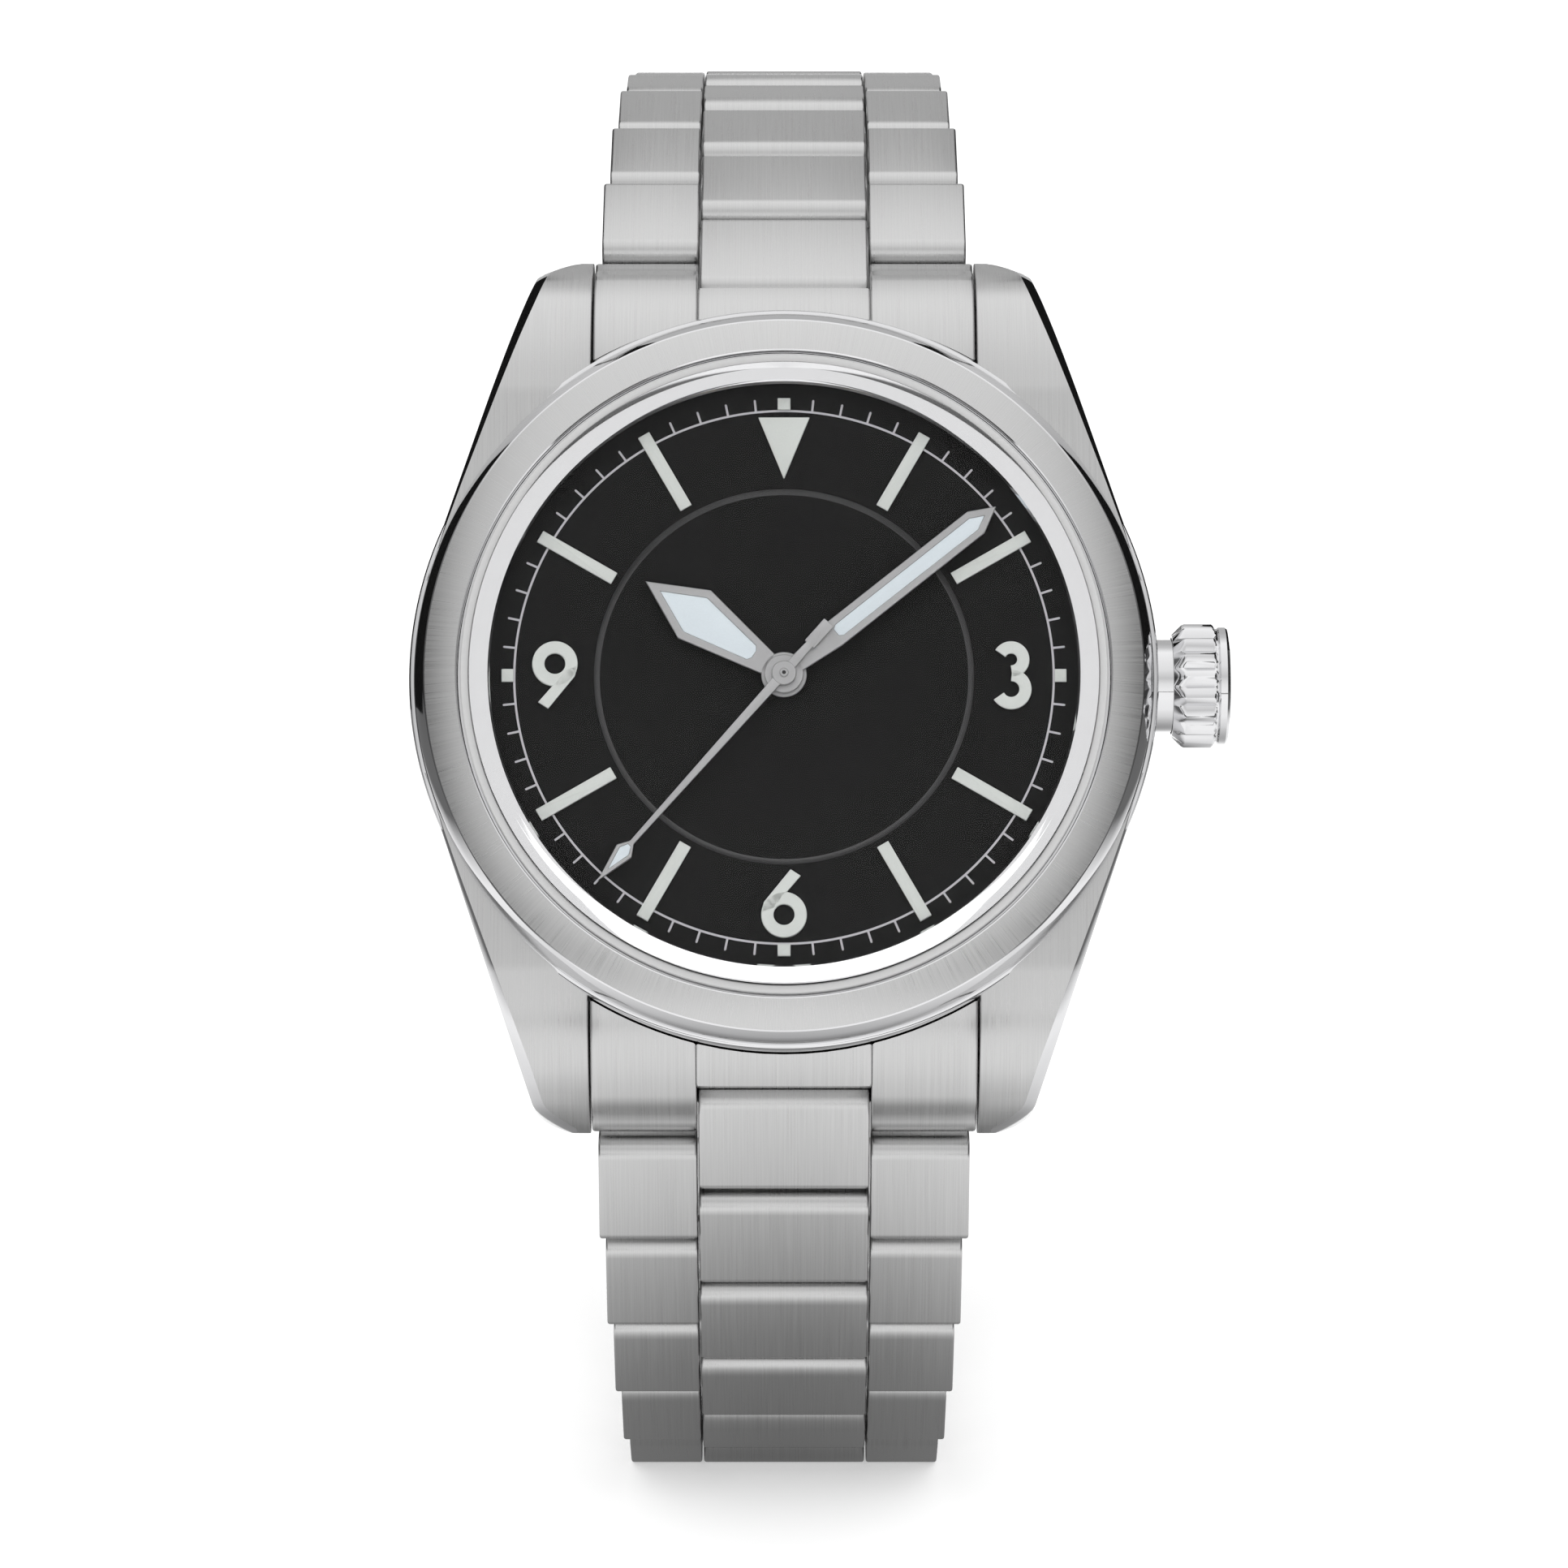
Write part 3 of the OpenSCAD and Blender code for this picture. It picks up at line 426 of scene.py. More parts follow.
def make_case():
    ring = [(15.45, CASE_BOTTOM), (15.45, CASE_TOP), (CASE_R - 0.25, CASE_TOP), (CASE_R - 0.08, CASE_TOP - 0.06),
            (CASE_R, CASE_TOP - 0.22), (CASE_R, CASE_BOTTOM + 0.8), (CASE_R - 0.1, CASE_BOTTOM + 0.4),
            (CASE_R - 0.5, CASE_BOTTOM + 0.08), (CASE_R - 0.8, CASE_BOTTOM)]
    turned("case_middle", ring[::-1], "case", "polished_steel", [POLISHED], ["case_body"], turns=256)
    bevel_faces = (4, 5, 6, 7, 8)          # the places round a lug's ring that are polished
    ring_size = 12
    lug = lug_mesh()
    verts, faces, picks = [], [], []
    for x in (1, -1):
        for y in (1, -1):
            part = flip(lug, x, y)
            shift = len(verts)
            verts += part[0]
            faces += [tuple(i + shift for i in face) for face in part[1]]
            picks += [0, 0] + [1 if i % ring_size in bevel_faces else 0 for i in range(len(part[1]) - 2)]
    solid("case_lugs", verts, faces, "case", "brushed_steel", [STEEL, POLISHED], picks=picks, sharp=30)


# ---------- dial ----------
def make_dial():
    profile = [(1.0, DIAL_Z - DIAL_T), (DIAL_R, DIAL_Z - DIAL_T), (DIAL_R, DIAL_Z)]
    profile += arc(RECESS_R + 0.05, DIAL_Z - 0.05, 0.05, 90, 150, 3)
    profile += [(RECESS_R - 0.2, DIAL_Z - RECESS_DEPTH + 0.02), (RECESS_R - 0.28, DIAL_Z - RECESS_DEPTH),
                (1.0, DIAL_Z - RECESS_DEPTH)]
    turned("dial_plate", profile, "case", "dial_black", [DIAL, DIAL_EDGE], ["dial"],
           lambda k: 1 if 5 <= k <= 7 else 0, sharp=50)


def make_track():
    """The printed minute ring and its ticks, as thin flat prints on the dial."""
    line, thick = 0.055, 0.012
    verts, faces, _, _ = lathe([(RING_R - line, DIAL_Z), (RING_R + line, DIAL_Z),
                                (RING_R + line, DIAL_Z + thick), (RING_R - line, DIAL_Z + thick)], 240)
    parts = [(verts, faces)]
    tick = [(-line, RING_R), (line, RING_R)] + arc(0, TICK_OUT - line, line, 0, 180, 6)
    for minute in range(60):
        if minute % 5:
            parts.append(moved(slab(tick, DIAL_Z, DIAL_Z + thick, 0.004, 1), clock(6 * minute)))
    solid("minute_track", *join(parts), "case", "lume", [PRINT])


def rounded(points, radius, steps=4):
    """A closed convex outline with its corners rounded."""
    out = []
    for i, point in enumerate(points):
        p, a, b = Vector(point), Vector(points[i - 1]), Vector(points[(i + 1) % len(points)])
        u, v = (a - p).normalized(), (b - p).normalized()
        half = math.acos(max(-1, min(1, u.dot(v)))) / 2
        reach = min(radius / math.tan(half), (a - p).length * 0.45, (b - p).length * 0.45)
        centre = p + (u + v).normalized() * reach / math.cos(half)
        start, end = p + u * reach - centre, p + v * reach - centre
        turn = start.angle_signed(end)
        for k in range(steps + 1):
            spun = Matrix.Rotation(-turn * k / steps, 2) @ start
            out.append(tuple(centre + spun))
    return out


def stroke_band(centre_line, width):
    """An outline that follows a line with round ends."""
    half = width / 2
    points = [Vector(p) for p in centre_line]
    left, right = [], []
    for i, p in enumerate(points):
        ahead = points[min(i + 1, len(points) - 1)] - points[max(i - 1, 0)]
        normal = Vector((-ahead.y, ahead.x)).normalized() * half
        left.append(tuple(p + normal))
        right.append(tuple(p - normal))
    return right + left[::-1]


STROKE = 0.62


def numeral_six():
    """A round bowl and a straight slanted stem."""
    bowl = lathe([(1.15 - STROKE, 0), (1.15, 0), (1.15, MARKER_T - 0.03), (1.12, MARKER_T),
                  (1.15 - STROKE + 0.03, MARKER_T), (1.15 - STROKE, MARKER_T - 0.03)], 64)[:2]
    stem = [(-1.13, -0.5), (-0.52, -0.3), (0.02, 0.42), (0.84, 1.37), (0.33, 1.7), (-1.02, 0.03)]
    return join([moved(bowl, Matrix.Translation((0, -0.6, 0))), slab(stem, 0, MARKER_T, 0.03, 2)])


def numeral_three():
    upper = arc(-0.1, 0.82, 0.62, 150, -88, 22)
    lower = arc(-0.1, -0.7, 0.72, 88, -150, 24)
    parts = [slab(stroke_band(line, STROKE), 0, MARKER_T, 0.03, 2) for line in (upper, lower)]
    return join(parts)


def make_markers():
    parts = []
    half = 0.65 / 2
    baton = rounded([(-half, 9.95), (half, 9.95), (half, 14.3), (-half, 14.3)], 0.03)
    square = rounded([(-half, RING_R + 0.05), (half, RING_R + 0.05), (half, 14.3), (-half, 14.3)], 0.03)
    triangle = rounded([(-1.31, 13.3), (0, 10.1), (1.31, 13.3)], 0.03)
    for hour in range(12):
        outline = square if hour % 3 == 0 else baton
        parts.append(moved(slab(outline, 0, MARKER_T, 0.035, 2), clock(30 * hour)))
    parts.append(slab(triangle, 0, MARKER_T, 0.035, 2))
    parts.append(moved(numeral_three(), Matrix.Translation((11.6, 0, 0))))
    parts.append(moved(numeral_six(), Matrix.Translation((0, -11.6, 0))))
    parts.append(moved(numeral_six(), Matrix.Translation((-11.6, 0, 0)) @ Matrix.Rotation(math.pi, 4, "Z")))
    solid("applied_markers", *moved(join(parts), Matrix.Translation((0, 0, DIAL_Z))), "case", "lume", [LUME],
          ["hour_markers"])


# ---------- hands ----------
def frame_band(outer, inner, low, high, edge):
    """A flat frame between two outlines with as many points each."""
    count = len(outer)
    rings = [(outer, low), (outer, high - edge), (inset(outer, edge), high), (inset(inner, -edge), high),
             (inner, high - edge), (inner, low)]
    verts = [(x, y, z) for ring, z in rings for x, y in ring]
    faces = []
    for k in range(len(rings)):
        for i in range(count):
            j, nxt = (i + 1) % count, (k + 1) % len(rings)
            faces.append((k * count + i, k * count + j, nxt * count + j, nxt * count + i))
    return verts, faces


def hub(radius, bore, low, high):
    return lathe([(bore, low), (radius, low), (radius, high - 0.03), (radius - 0.03, high),
                  (bore + 0.03, high), (bore, high - 0.03)], 64)[:2]


def make_hand(name, body, angle, low, frame_outer, frame_inner, extras, node):
    high = low + HAND_T
    spin = HEAD @ clock(angle)
    parts = [frame_band(frame_outer, frame_inner, low, high, 0.03)] + extras
    solid(name + "_frame", *join(parts), body, "hand_steel", [HAND], [node], spin)
    fill = slab(inset(frame_inner, 0.005), low + 0.02, high - 0.03, 0.02, 2)
    solid(name + "_lume", *fill, body, "lume", [LUME_HANDS], (), spin)


def make_hands():
    shoulder = 5.5
    outer = [(0.6, 1.0), (1.48, shoulder), (0, 8.5), (-1.48, shoulder), (-0.6, 1.0), (-0.3, 0.9), (0.3, 0.9)]
    inner = [(0.42, 2.0), (1.05, shoulder - 0.05), (0, 7.6), (-1.05, shoulder - 0.05), (-0.42, 2.0),
             (-0.2, 1.85), (0.2, 1.85)]
    make_hand("hour", "hour", HOUR_ANGLE, HOUR_Z, outer, inner,
              [hub(1.15, 0.8, HOUR_Z, HOUR_Z + HAND_T)], "hour_hand")
    outer = [(0.7, 3.2), (0.7, 12.5), (0, 13.8), (-0.7, 12.5), (-0.7, 3.2), (-0.45, 0.8), (0.45, 0.8)]
    inner = [(0.34, 3.6), (0.36, 12.35), (0, 13.05), (-0.36, 12.35), (-0.34, 3.6), (-0.2, 3.4), (0.2, 3.4)]
    make_hand("minute", "minute", MINUTE_ANGLE, MINUTE_Z, outer, inner,
              [hub(0.98, 0.5, MINUTE_Z, MINUTE_Z + HAND_T)], "minute_hand")
    tip = 14.2
    outer = [(0.12, tip - 2.6), (0.5, tip - 2), (0, tip), (-0.5, tip - 2), (-0.12, tip - 2.6)]
    inner = [(0.1, tip - 2.4), (0.3, tip - 2.0), (0, tip - 0.8), (-0.3, tip - 2.0), (-0.1, tip - 2.4)]
    needle = slab([(-0.25, 0), (0.25, 0), (0.12, tip - 2.55), (-0.12, tip - 2.55)],
                  SECONDS_Z, SECONDS_Z + HAND_T, 0.03, 2)
    tail = slab([(-0.2, -2.0), (0.2, -2.0), (0.25, 0), (-0.25, 0)], SECONDS_Z, SECONDS_Z + HAND_T, 0.03, 2)
    bar = slab(rounded([(-0.315, -3.45), (0.315, -3.45), (0.315, -1.95), (-0.315, -1.95)], 0.04),
               SECONDS_Z, SECONDS_Z + HAND_T, 0.03, 2)
    top = SECONDS_Z + HAND_T
    make_hand("seconds", "seconds", SECONDS_ANGLE, SECONDS_Z, outer, inner,
              [needle, tail, bar, hub(0.62, 0.2, SECONDS_Z, top + 0.02)], "seconds_hand")
    cap = [(0.001, top + 0.085), (0.07, top + 0.085), (0.1, top + 0.12), (0.19, top + 0.12), (0.23, top + 0.08),
           (0.23, top), (0.001, top)]
    turned("seconds_cap", cap[::-1], "seconds", "hand_steel", [HAND, RUBBER], (),
           lambda k: 1 if k in (4, 5) else 0, turns=48)


# ---------- bracelet ----------
def link_outline(top_near, top_far):
    """A block's side outline between pins at 0 and half a pitch; +y faces out of the bracelet."""
    points = [(x, y) for x, y in arc(0, 0, BLOCK_R, 270, 200, 8)]
    points += arc(-BLOCK_R + top_near, BLOCK_R - top_near, top_near, 180, 90, 8)
    points += arc(HALF_PITCH + BLOCK_R - top_far, BLOCK_R - top_far, top_far, 90, 0, 6)
    points += arc(HALF_PITCH, 0, BLOCK_R, -20, -90, 8)
    return points[::-1]


def corners_within(place):
    """The crispest outer corners with which a link's blocks stay inside the CAD model's box."""
    for near, far in ((0.95, 0.4), (1.1, 0.75), (1.25, 1.1)):
        spots = [place @ (Vector((x + shift, y, 0)) * MM)
                 for x, y in link_outline(near, far) for shift in (0, HALF_PITCH)]
        if all(CAD_BOX[0][i] <= spot[i] <= CAD_BOX[1][i] for spot in spots for i in (1, 2)):
            return near, far
    return BLOCK_R, BLOCK_R


def block(low, high, corners):
    """A block between two places across the bracelet; local x is along it, y out of it, z across."""
    return slab(link_outline(*corners), low, high, 0.13, 3)


def link_width(k):
    return max(WIDTH_END, WIDTH_START - WIDTH_STEP * k)


def pin_end(x, y, face, sign):
    """The end of a pin, just below the outer block's side face."""
    disc = [(x + PIN_R * math.cos(a), y + PIN_R * math.sin(a)) for a in (math.pi / 12 * i for i in range(24))]
    verts, faces = slab(disc, face - 0.6, face + 0.015, 0.08, 2)
    return [(v[0], v[1], v[2] * sign) for v in verts], faces if sign > 0 else [f[::-1] for f in faces]


def make_links():
    for side, sign in (("12", 1), ("6", -1)):
        for k in range(1, LINKS + 1):
            start = Vector(JOINTS[f"hinge_{side}_{k}"]["pos_m"])
            follow = f"hinge_{side}_{k + 1}" if k < LINKS else None
            if follow:
                end = Vector(JOINTS[follow]["pos_m"])
            elif sign > 0:
                end = Vector(JOINTS["clasp_cover_hinge"]["pos_m"])
            else:
                end = start + LAST_DIRECTION * PITCH * MM
            along = (end - start).normalized()
            out = along.cross(ACROSS) * -sign
            place = Matrix.Translation(start) @ Matrix((along, out, along.cross(out))).transposed().to_4x4()
            half = link_width(k) / 2
            inner = CENTRE_HALF + SIDE_GAP
            corners = corners_within(place)
            parts = [block(-CENTRE_HALF, CENTRE_HALF, corners)]
            shift = Matrix.Translation((HALF_PITCH, 0, 0))
            for low, high in ((inner, half), (-half, -inner)):
                parts.append(moved(block(low, high, corners), shift))
            for x in (HALF_PITCH, PITCH):
                for end_sign in (1, -1):
                    parts.append(pin_end(x, 0, half, end_sign))
            solid(f"bracelet_link_{side}_{k}", *join(parts), f"link_{side}_{k}", "brushed_steel", [STEEL],
                  [f"link_{side}_{k}"], place, sharp=40, across_z=True)


def last_direction():
    """Direction of the last link on the 6 side, whose far pin has no joint of its own."""
    low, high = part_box(f"link_6_{LINKS}")
    start = Vector(JOINTS[f"hinge_6_{LINKS}"]["pos_m"])
    far_y, far_z = (high[1] if abs(high[1] - start.y) > abs(low[1] - start.y) else low[1]), \
        (high[2] if abs(high[2] - start.z) > abs(low[2] - start.z) else low[2])
    reach = BLOCK_R * MM
    y = far_y - math.copysign(reach, far_y - start.y)
    z = far_z - math.copysign(reach, far_z - start.z)
    return Vector((0, y - start.y, z - start.z)).normalized()


LAST_DIRECTION = last_direction()


def end_link_top(y):
    """Height of an end link's upper face at distance y from the middle."""
    start = 16.0
    t = max(0.0, (y - start) / (HINGE_Y - start))
    return -2.15 - 2.35 * t ** 2.1


def end_link_outline(inner, ear):
    """Side outline (y, z) from the case wall to the ears or to the hollow for the first centre block."""
    nose = 0.95
    points = []
    if ear:
        last = HINGE_Y - 0.15
        tip = (HINGE_Y + BLOCK_R * math.sin(math.radians(35)), HINGE_Z + BLOCK_R * math.cos(math.radians(35)))
        top = [(inner + (last - inner) * i / 16, end_link_top(inner + (last - inner) * i / 16)) for i in range(17)]
        down = [(top[-1][0] + (tip[0] - top[-1][0]) * s, top[-1][1] + (tip[1] - top[-1][1]) * s ** 1.5)
                for s in (0.25, 0.5, 0.75)]
        points = top + down + arc(HINGE_Y, HINGE_Z, BLOCK_R, 55, -90, 12)
    else:
        reach = BLOCK_R + LINK_GAP
        last = HINGE_Y - 0.62
        top = [(inner + (last - inner) * i / 16, end_link_top(inner + (last - inner) * i / 16)) for i in range(17)]
        down = [(last + 0.02, top[-1][1] - 0.3), (last, top[-1][1] - 0.6), (last - 0.05, HINGE_Z + reach * 0.93)]
        points = top + down + arc(HINGE_Y, HINGE_Z, reach, 115, 262, 12)
    points.append((inner, HINGE_Z - BLOCK_R))
    return points[::-1]


def end_link_part(x0, x1, ear):
    """A part of an end link between two places across, cut to the round case wall."""
    wall = CASE_R + 0.1
    stations = [x0, x0 + 0.04, x0 + 0.14] + [x0 + 0.14 + (x1 - x0 - 0.28) * i / 8 for i in range(1, 8)]
    stations += [x1 - 0.14, x1 - 0.04, x1]
    insets = [0.1, 0.035, 0] + [0] * 7 + [0, 0.035, 0.1]
    rings = []
    for x, shrink in zip(stations, insets):
        inner = math.sqrt(wall ** 2 - x ** 2)
        rings.append((x, inset(end_link_outline(inner, ear), shrink)))
    count = len(rings[0][1])
    verts = [(x, y, z) for x, ring in rings for y, z in ring]
    faces = [tuple(range(count - 1, -1, -1)), tuple(range(len(verts) - count, len(verts)))]
    for k in range(len(rings) - 1):
        for i in range(count):
            j = (i + 1) % count
            faces.append((k * count + i, k * count + j, (k + 1) * count + j, (k + 1) * count + i))
    return verts, faces


def make_end_links():
    half, cut = LUG_GAP / 2 - 0.1, CENTRE_HALF + SIDE_GAP
    for name, sign in (("end_link_12", 1), ("end_link_6", -1)):
        parts = [end_link_part(-half, -cut, True), end_link_part(-cut, cut, False),
                 end_link_part(cut, half, True)]
        parts = [flip(part, 1, sign) for part in parts]
        solid(name + "_block", *join(parts), "case", "brushed_steel", [STEEL], [name], sharp=40)


# ---------- crown ----------
def make_crown():
    """A fluted crown turned about its own axis, with a plain disc on its end."""
    ridges, per = 18, 10
    turns = ridges * per
    stations = [(0.0, 0.55, 0.0), (0.25, 0.3, 0.25), (0.5, 0.06, 0.8), (0.65, 0.0, 1.0), (CROWN_L - 0.85, 0.0, 1.0),
                (CROWN_L - 0.75, 0.08, 0.6), (CROWN_L - 0.68, 0.22, 0.0), (CROWN_L - 0.6, 0.24, 0.0),
                (CROWN_L - 0.5, 0.16, 0.0), (CROWN_L - 0.16, 0.16, 0.0), (CROWN_L - 0.05, 0.24, 0.0),
                (CROWN_L, 0.42, 0.0), (CROWN_L, 1.6, 0.0)]
    verts, faces = [], []
    for s, drop, depth in stations:
        for i in range(turns):
            phase = i % per / per
            groove = 0.34 * depth * (1 - abs(2 * phase - 1)) ** 1.3
            r, a = CROWN_R - drop - groove, 2 * math.pi * i / turns
            verts.append((r * math.cos(a), r * math.sin(a), s))
    for k in range(len(stations) - 1):
        for i in range(turns):
            j = (i + 1) % turns
            faces.append((k * turns + i, k * turns + j, (k + 1) * turns + j, (k + 1) * turns + i))
    faces.append(tuple((len(stations) - 1) * turns + i for i in range(turns)))
    hollow = [(TUBE_R + 0.1, 0.0), (TUBE_R + 0.1, 0.9), (1.0, 0.9)]
    base = len(verts)
    for r, s in hollow:
        verts += [(r * math.cos(2 * math.pi * i / turns), r * math.sin(2 * math.pi * i / turns), s)
                  for i in range(turns)]
    rings = [0] + [base + k * turns for k in range(len(hollow))]
    for first, second in zip(rings, rings[1:]):
        for i in range(turns):
            j = (i + 1) % turns
            faces.append((first + j, first + i, second + i, second + j))
    faces.append(tuple(rings[-1] + i for i in range(turns - 1, -1, -1)))
    place = HEAD @ Matrix.Translation((CROWN_X * MM, 0, STEM_Z * MM)) @ Matrix.Rotation(math.pi / 2, 4, "Y")
    solid("crown_knob", verts, faces, "crown", "polished_steel", [POLISHED], ["crown"], place, sharp=28)


# ---------- CAD nodes that keep their shape ----------
def finish_nodes():
    looks = {"brushed_steel": STEEL_PLAIN, "polished_steel": POLISHED, "movement_steel": WORKS, "movement_brass": BRASS,
             "dial_black": DIAL, "lume": LUME, "hand_steel": HAND, "crystal": GLASS, "gasket": RUBBER,
             "crystal_gasket": GASKET}
    slots = {p["node"]: p["material_slot"] for p in frame["record"]["subparts"]}
    for name, node in frame["nodes"].items():
        for material_slot in node.material_slots:
            material_slot.material = looks[slots[name]]
        if name.startswith("clasp") or name == "case_back":
            bevel = node.modifiers.new("soft_edges", "BEVEL")
            bevel.width = 0.12 * MM
            bevel.segments = 2
            bevel.limit_method = "ANGLE"
            bevel.angle_limit = math.radians(40)


# ---------- stage ----------
def stage_plane(name, centre, size, rotation, material, camera=True):
    mesh = bpy.data.meshes.new(name)
    w, h = size[0] / 2, size[1] / 2
    mesh.from_pydata([(-w, -h, 0), (w, -h, 0), (w, h, 0), (-w, h, 0)], [], [(0, 1, 2, 3)])
    mesh.materials.append(material)
    plane = bpy.data.objects.new(name, mesh)
    plane.location, plane.rotation_euler = centre, rotation
    plane.visible_camera = camera
    bpy.context.scene.collection.objects.link(plane)
    return plane


def area_light(name, location, target, size, power):
    data = bpy.data.lights.new(name, "AREA")
    data.shape = "RECTANGLE"
    data.size, data.size_y = size
    data.energy = power
    lamp = bpy.data.objects.new(name, data)
    lamp.location = location
    lamp.rotation_euler = (Vector(target) - Vector(location)).to_track_quat("-Z", "Y").to_euler()
    lamp.visible_glossy = False            # metal mirrors the studio, not the lamps
    bpy.context.scene.collection.objects.link(lamp)


def seen_directly(tree, *more):
    """1 for camera rays, and for the kinds of ray named in more."""
    path = add(tree, "ShaderNodeLightPath")
    total = path.outputs["Is Camera Ray"]
    for kind in more:
        larger = add(tree, "ShaderNodeMath", operation="MAXIMUM")
        tree.links.new(total, larger.inputs[0])
        tree.links.new(path.outputs[kind], larger.inputs[1])
        total = larger.outputs[0]
    return total


def ramp_of(tree, value, stops):
    ramp = add(tree, "ShaderNodeValToRGB")
    elements = ramp.color_ramp.elements
    while len(elements) < len(stops):
        elements.new(0.5)
    for element, (position, tone) in zip(elements, stops):
        element.position, element.color = position, (tone, tone, tone, 1)
    tree.links.new(value, ramp.inputs["Fac"])
    return ramp.outputs["Color"]


def make_floor():
    """A white floor that keeps the watch's shadow; metal sees a painted reflection of it, with painted shade darker
    round the watch's foot.
    """
    floor, tree, shader = new_material("floor_white", (0.9, 0.9, 0.9), 0.0, 0.9)
    shader.inputs["Specular IOR Level"].default_value = 0.0
    out = tree.nodes["Material Output"]
    glow = add(tree, "ShaderNodeEmission", Strength=0.4)
    both = add(tree, "ShaderNodeAddShader")
    tree.links.new(shader.outputs["BSDF"], both.inputs[0])
    tree.links.new(glow.outputs["Emission"], both.inputs[1])
    white = add(tree, "ShaderNodeMixShader")
    tree.links.new(seen_directly(tree, "Is Transmission Ray"), white.inputs["Fac"])
    tree.links.new(shader.outputs["BSDF"], white.inputs[1])
    tree.links.new(both.outputs["Shader"], white.inputs[2])
    # painted reflection for polished and brushed steel: a glow that only glossy rays see, with painted shade darker
    # round the watch's foot and darker beyond the watch's sides
    coords = add(tree, "ShaderNodeTexCoord")
    length = add(tree, "ShaderNodeVectorMath", operation="LENGTH")
    tree.links.new(coords.outputs["Object"], length.inputs[0])
    spread_out = add(tree, "ShaderNodeMapRange")
    spread_out.inputs["From Max"].default_value = 0.4
    tree.links.new(length.outputs["Value"], spread_out.inputs["Value"])
    painted_reflection = add(tree, "ShaderNodeEmission", Strength=1.2)
    # painted shade: the painted reflection grows darker towards the watch's foot
    painted_foot_shade = ramp_of(tree, spread_out.outputs["Result"],
                      [(0.0, 0.12), (0.045, 0.26), (0.075, 0.52), (0.105, 0.76), (0.16, 0.95), (0.4, 1.0)])
    split = add(tree, "ShaderNodeSeparateXYZ")
    tree.links.new(coords.outputs["Object"], split.inputs["Vector"])
    across = add(tree, "ShaderNodeMath", operation="ABSOLUTE")
    tree.links.new(split.outputs["X"], across.inputs[0])
    sides = ramp_of(tree, across.outputs[0], [(0.0, 0.9), (0.02, 1.0), (0.07, 1.0), (0.12, 0.15), (1.0, 0.06)])
    product = add(tree, "ShaderNodeMix", data_type="RGBA", blend_type="MULTIPLY")
    product.inputs[0].default_value = 1.0
    tree.links.new(painted_foot_shade, product.inputs[6])
    tree.links.new(sides, product.inputs[7])
    tree.links.new(product.outputs[2], painted_reflection.inputs["Color"])
    path = add(tree, "ShaderNodeLightPath")
    final = add(tree, "ShaderNodeMixShader")
    tree.links.new(path.outputs["Is Glossy Ray"], final.inputs["Fac"])
    tree.links.new(white.outputs["Shader"], final.inputs[1])
    tree.links.new(painted_reflection.outputs["Emission"], final.inputs[2])
    tree.links.new(final.outputs["Shader"], out.inputs["Surface"])
    stage_plane("floor", (0, 0, 0), (6, 6), (0, 0, 0), floor)


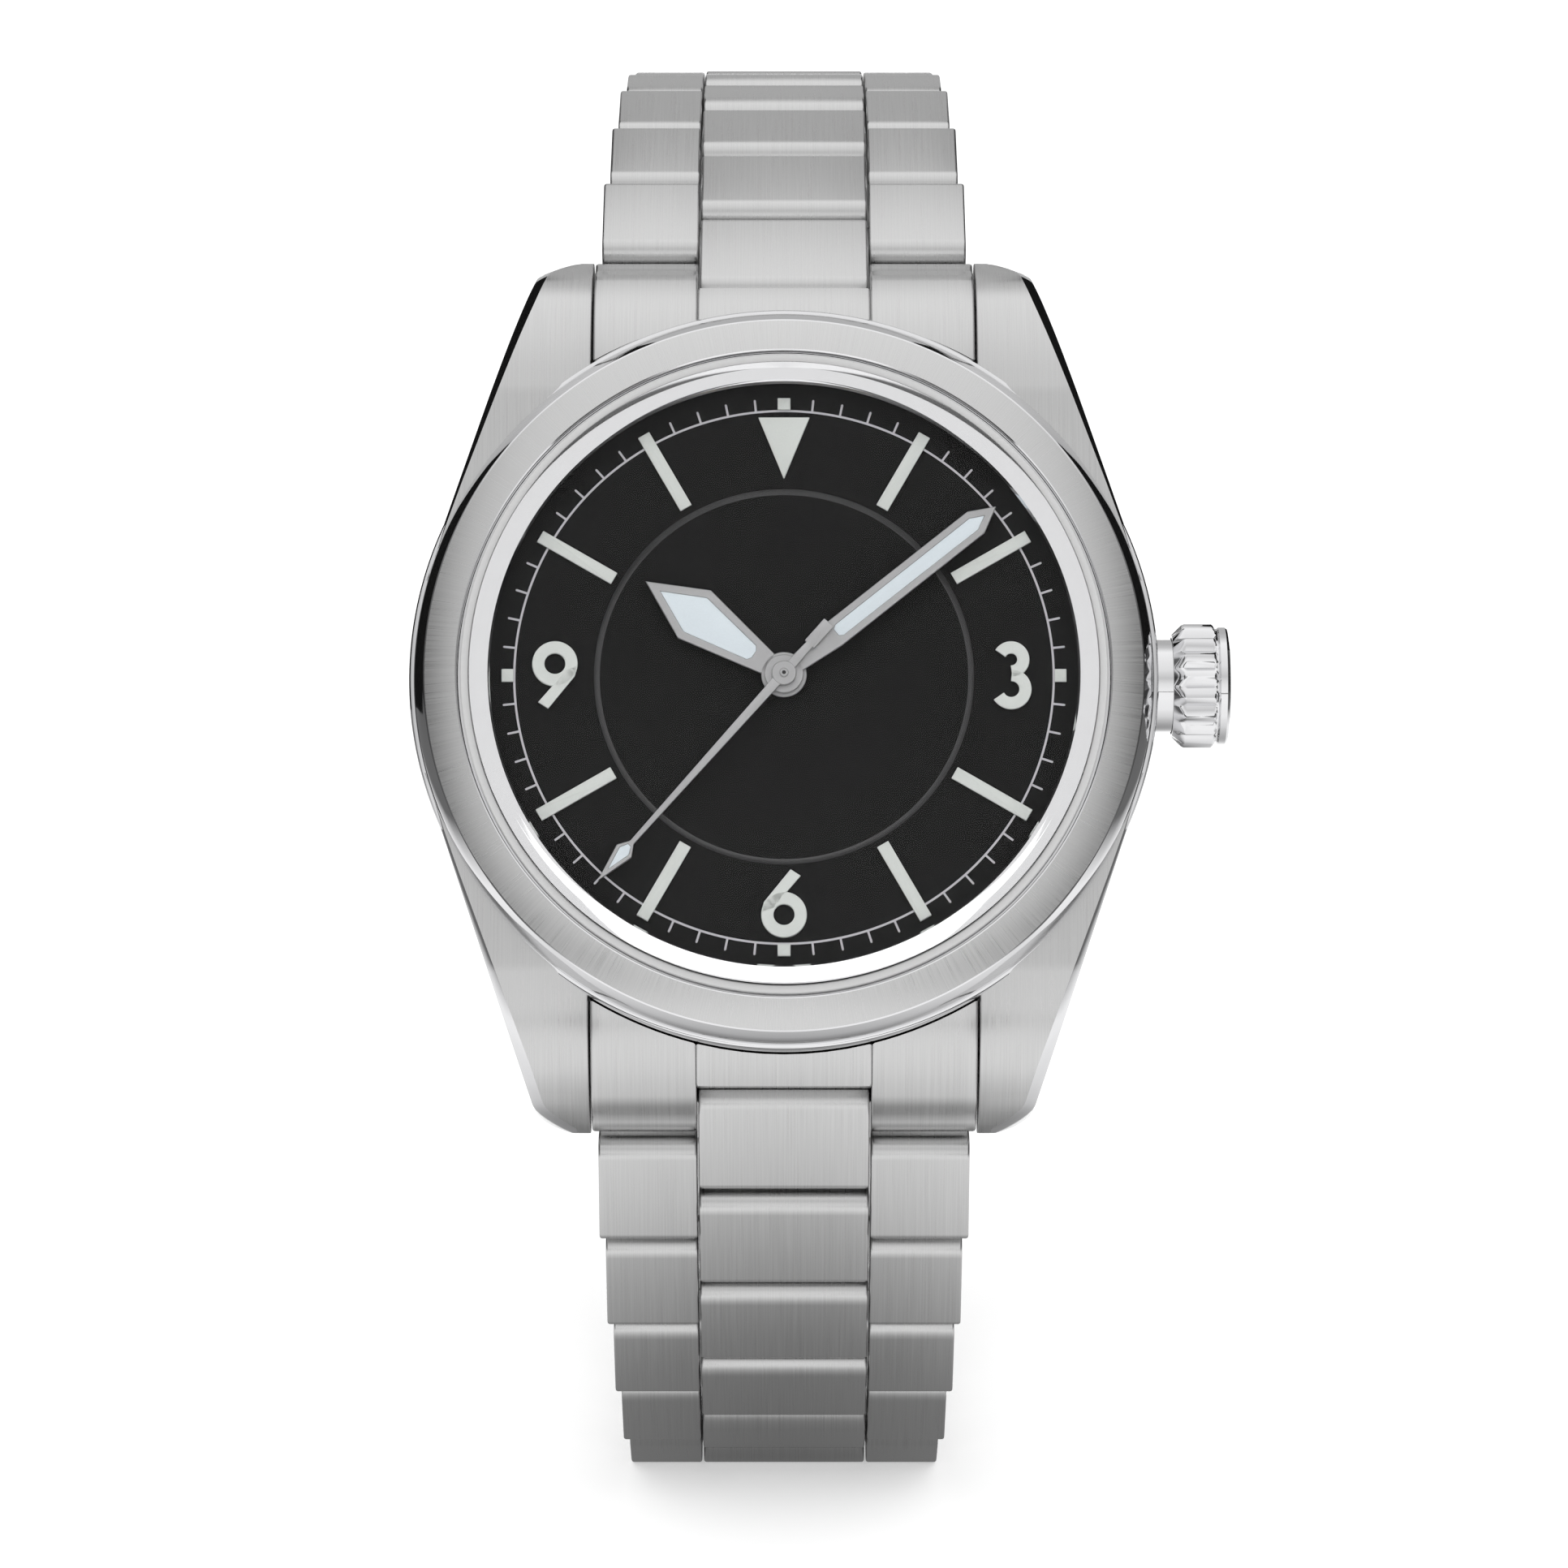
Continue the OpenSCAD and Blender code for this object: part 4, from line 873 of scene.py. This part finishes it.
def make_world():
    """White to the camera, an even light on the object, and a studio with bright and dark parts for metal."""
    world = bpy.data.worlds.new("studio")
    bpy.context.scene.world = world
    world.use_nodes = True
    tree = world.node_tree
    even = tree.nodes["Background"]
    even.inputs["Color"].default_value = (0.85, 0.85, 0.85, 1)
    coords = add(tree, "ShaderNodeTexCoord")
    split = add(tree, "ShaderNodeSeparateXYZ")
    tree.links.new(coords.outputs["Generated"], split.inputs["Vector"])
    forward = add(tree, "ShaderNodeMath", operation="MULTIPLY")
    forward.inputs[1].default_value = -1
    tree.links.new(split.outputs["Y"], forward.inputs[0])
    angle = add(tree, "ShaderNodeMath", operation="ARCTAN2")
    tree.links.new(split.outputs["Z"], angle.inputs[0])
    tree.links.new(forward.outputs[0], angle.inputs[1])
    turn = add(tree, "ShaderNodeMath", operation="DIVIDE")
    turn.inputs[1].default_value = math.pi
    tree.links.new(angle.outputs[0], turn.inputs[0])
    # from the horizon in front, over the top, to the horizon behind
    height = ramp_of(tree, turn.outputs[0], [(0.0, 0.98), (0.1, 0.85), (0.175, 0.62), (0.3, 0.85), (0.5, 0.95),
                                             (0.585, 1.0), (0.69, 0.6), (0.78, 0.48), (1.0, 0.42)])
    side = add(tree, "ShaderNodeMath", operation="ABSOLUTE")
    tree.links.new(split.outputs["X"], side.inputs[0])
    sides = ramp_of(tree, side.outputs[0], [(0.0, 1.0), (0.45, 1.0), (0.6, 0.85), (0.72, 0.22), (0.85, 0.06), (1.0, 0.06)])
    product = add(tree, "ShaderNodeMix", data_type="RGBA", blend_type="MULTIPLY")
    product.inputs[0].default_value = 1.0
    tree.links.new(height, product.inputs[6])
    tree.links.new(sides, product.inputs[7])
    studio = add(tree, "ShaderNodeBackground", Strength=1.2)
    tree.links.new(product.outputs[2], studio.inputs["Color"])
    white = add(tree, "ShaderNodeBackground", Color=(1, 1, 1, 1))
    path = add(tree, "ShaderNodeLightPath")
    first, second = add(tree, "ShaderNodeMixShader"), add(tree, "ShaderNodeMixShader")
    tree.links.new(path.outputs["Is Glossy Ray"], first.inputs["Fac"])
    tree.links.new(even.outputs["Background"], first.inputs[1])
    tree.links.new(studio.outputs["Background"], first.inputs[2])
    tree.links.new(seen_directly(tree, "Is Transmission Ray"), second.inputs["Fac"])
    tree.links.new(first.outputs["Shader"], second.inputs[1])
    tree.links.new(white.outputs["Background"], second.inputs[2])
    tree.links.new(second.outputs["Shader"], tree.nodes["World Output"].inputs["Surface"])


def make_cards():
    """Dark cards behind the watch that its polished flanks and bevels reflect; the camera doesn't see them."""
    black, _, shader = new_material("card_black", (0.01, 0.01, 0.01), 0.0, 0.9)
    shader.inputs["Specular IOR Level"].default_value = 0.0
    for name, x in (("card_left", -1), ("card_right", 1)):
        card = stage_plane(name, (x * 0.24, 0.16, 0.1), (0.36, 0.4), (math.pi / 2, 0, 0), black, camera=False)
        card.visible_diffuse = card.visible_shadow = card.visible_transmission = False


def make_stage():
    make_floor()
    make_world()
    make_cards()
    centre = RIM
    area_light("key", centre + Vector((0, -0.3, 0.56)), centre, (0.5, 0.4), 0.55)
    area_light("left", centre + Vector((-0.5, -0.2, 0.15)), centre, (0.1, 0.5), 0.12)
    area_light("right", centre + Vector((0.5, -0.2, 0.15)), centre, (0.1, 0.5), 0.12)


def make_camera():
    """The camera looks at the dial a little from below its normal."""
    below_normal = math.radians(9.24)
    distance, scale_px = 0.32, 23.994
    dial_px, image = Vector((963.0, 834.2)), 1932
    dial = RIM + DIAL_Z * MM * NORMAL
    towards = Matrix.Rotation(below_normal, 3, ACROSS) @ NORMAL
    focal = scale_px * distance / MM
    data = bpy.data.cameras.new("camera")
    data.sensor_width = 36
    data.lens = focal / image * data.sensor_width
    data.clip_start = 0.01
    camera = bpy.data.objects.new("camera", data)
    camera.location = dial + towards * distance
    up = Matrix.Rotation(below_normal, 3, ACROSS) @ NOON
    drop = math.atan((image / 2 - dial_px.y) / focal)
    back = Matrix.Rotation(-drop, 3, ACROSS) @ towards
    up = Matrix.Rotation(-drop, 3, ACROSS) @ up
    right = up.cross(back)
    camera.rotation_euler = Matrix((right, up, back)).transposed().to_euler()
    bpy.context.scene.collection.objects.link(camera)
    bpy.context.scene.camera = camera


make_camera()
make_stage()
finish_nodes()
make_bezel()
make_crystal()
make_rings()
make_case()
make_dial()
make_track()
make_markers()
make_hands()
make_end_links()
make_links()
make_crown()

bpy.context.scene.view_settings.view_transform = "Standard"
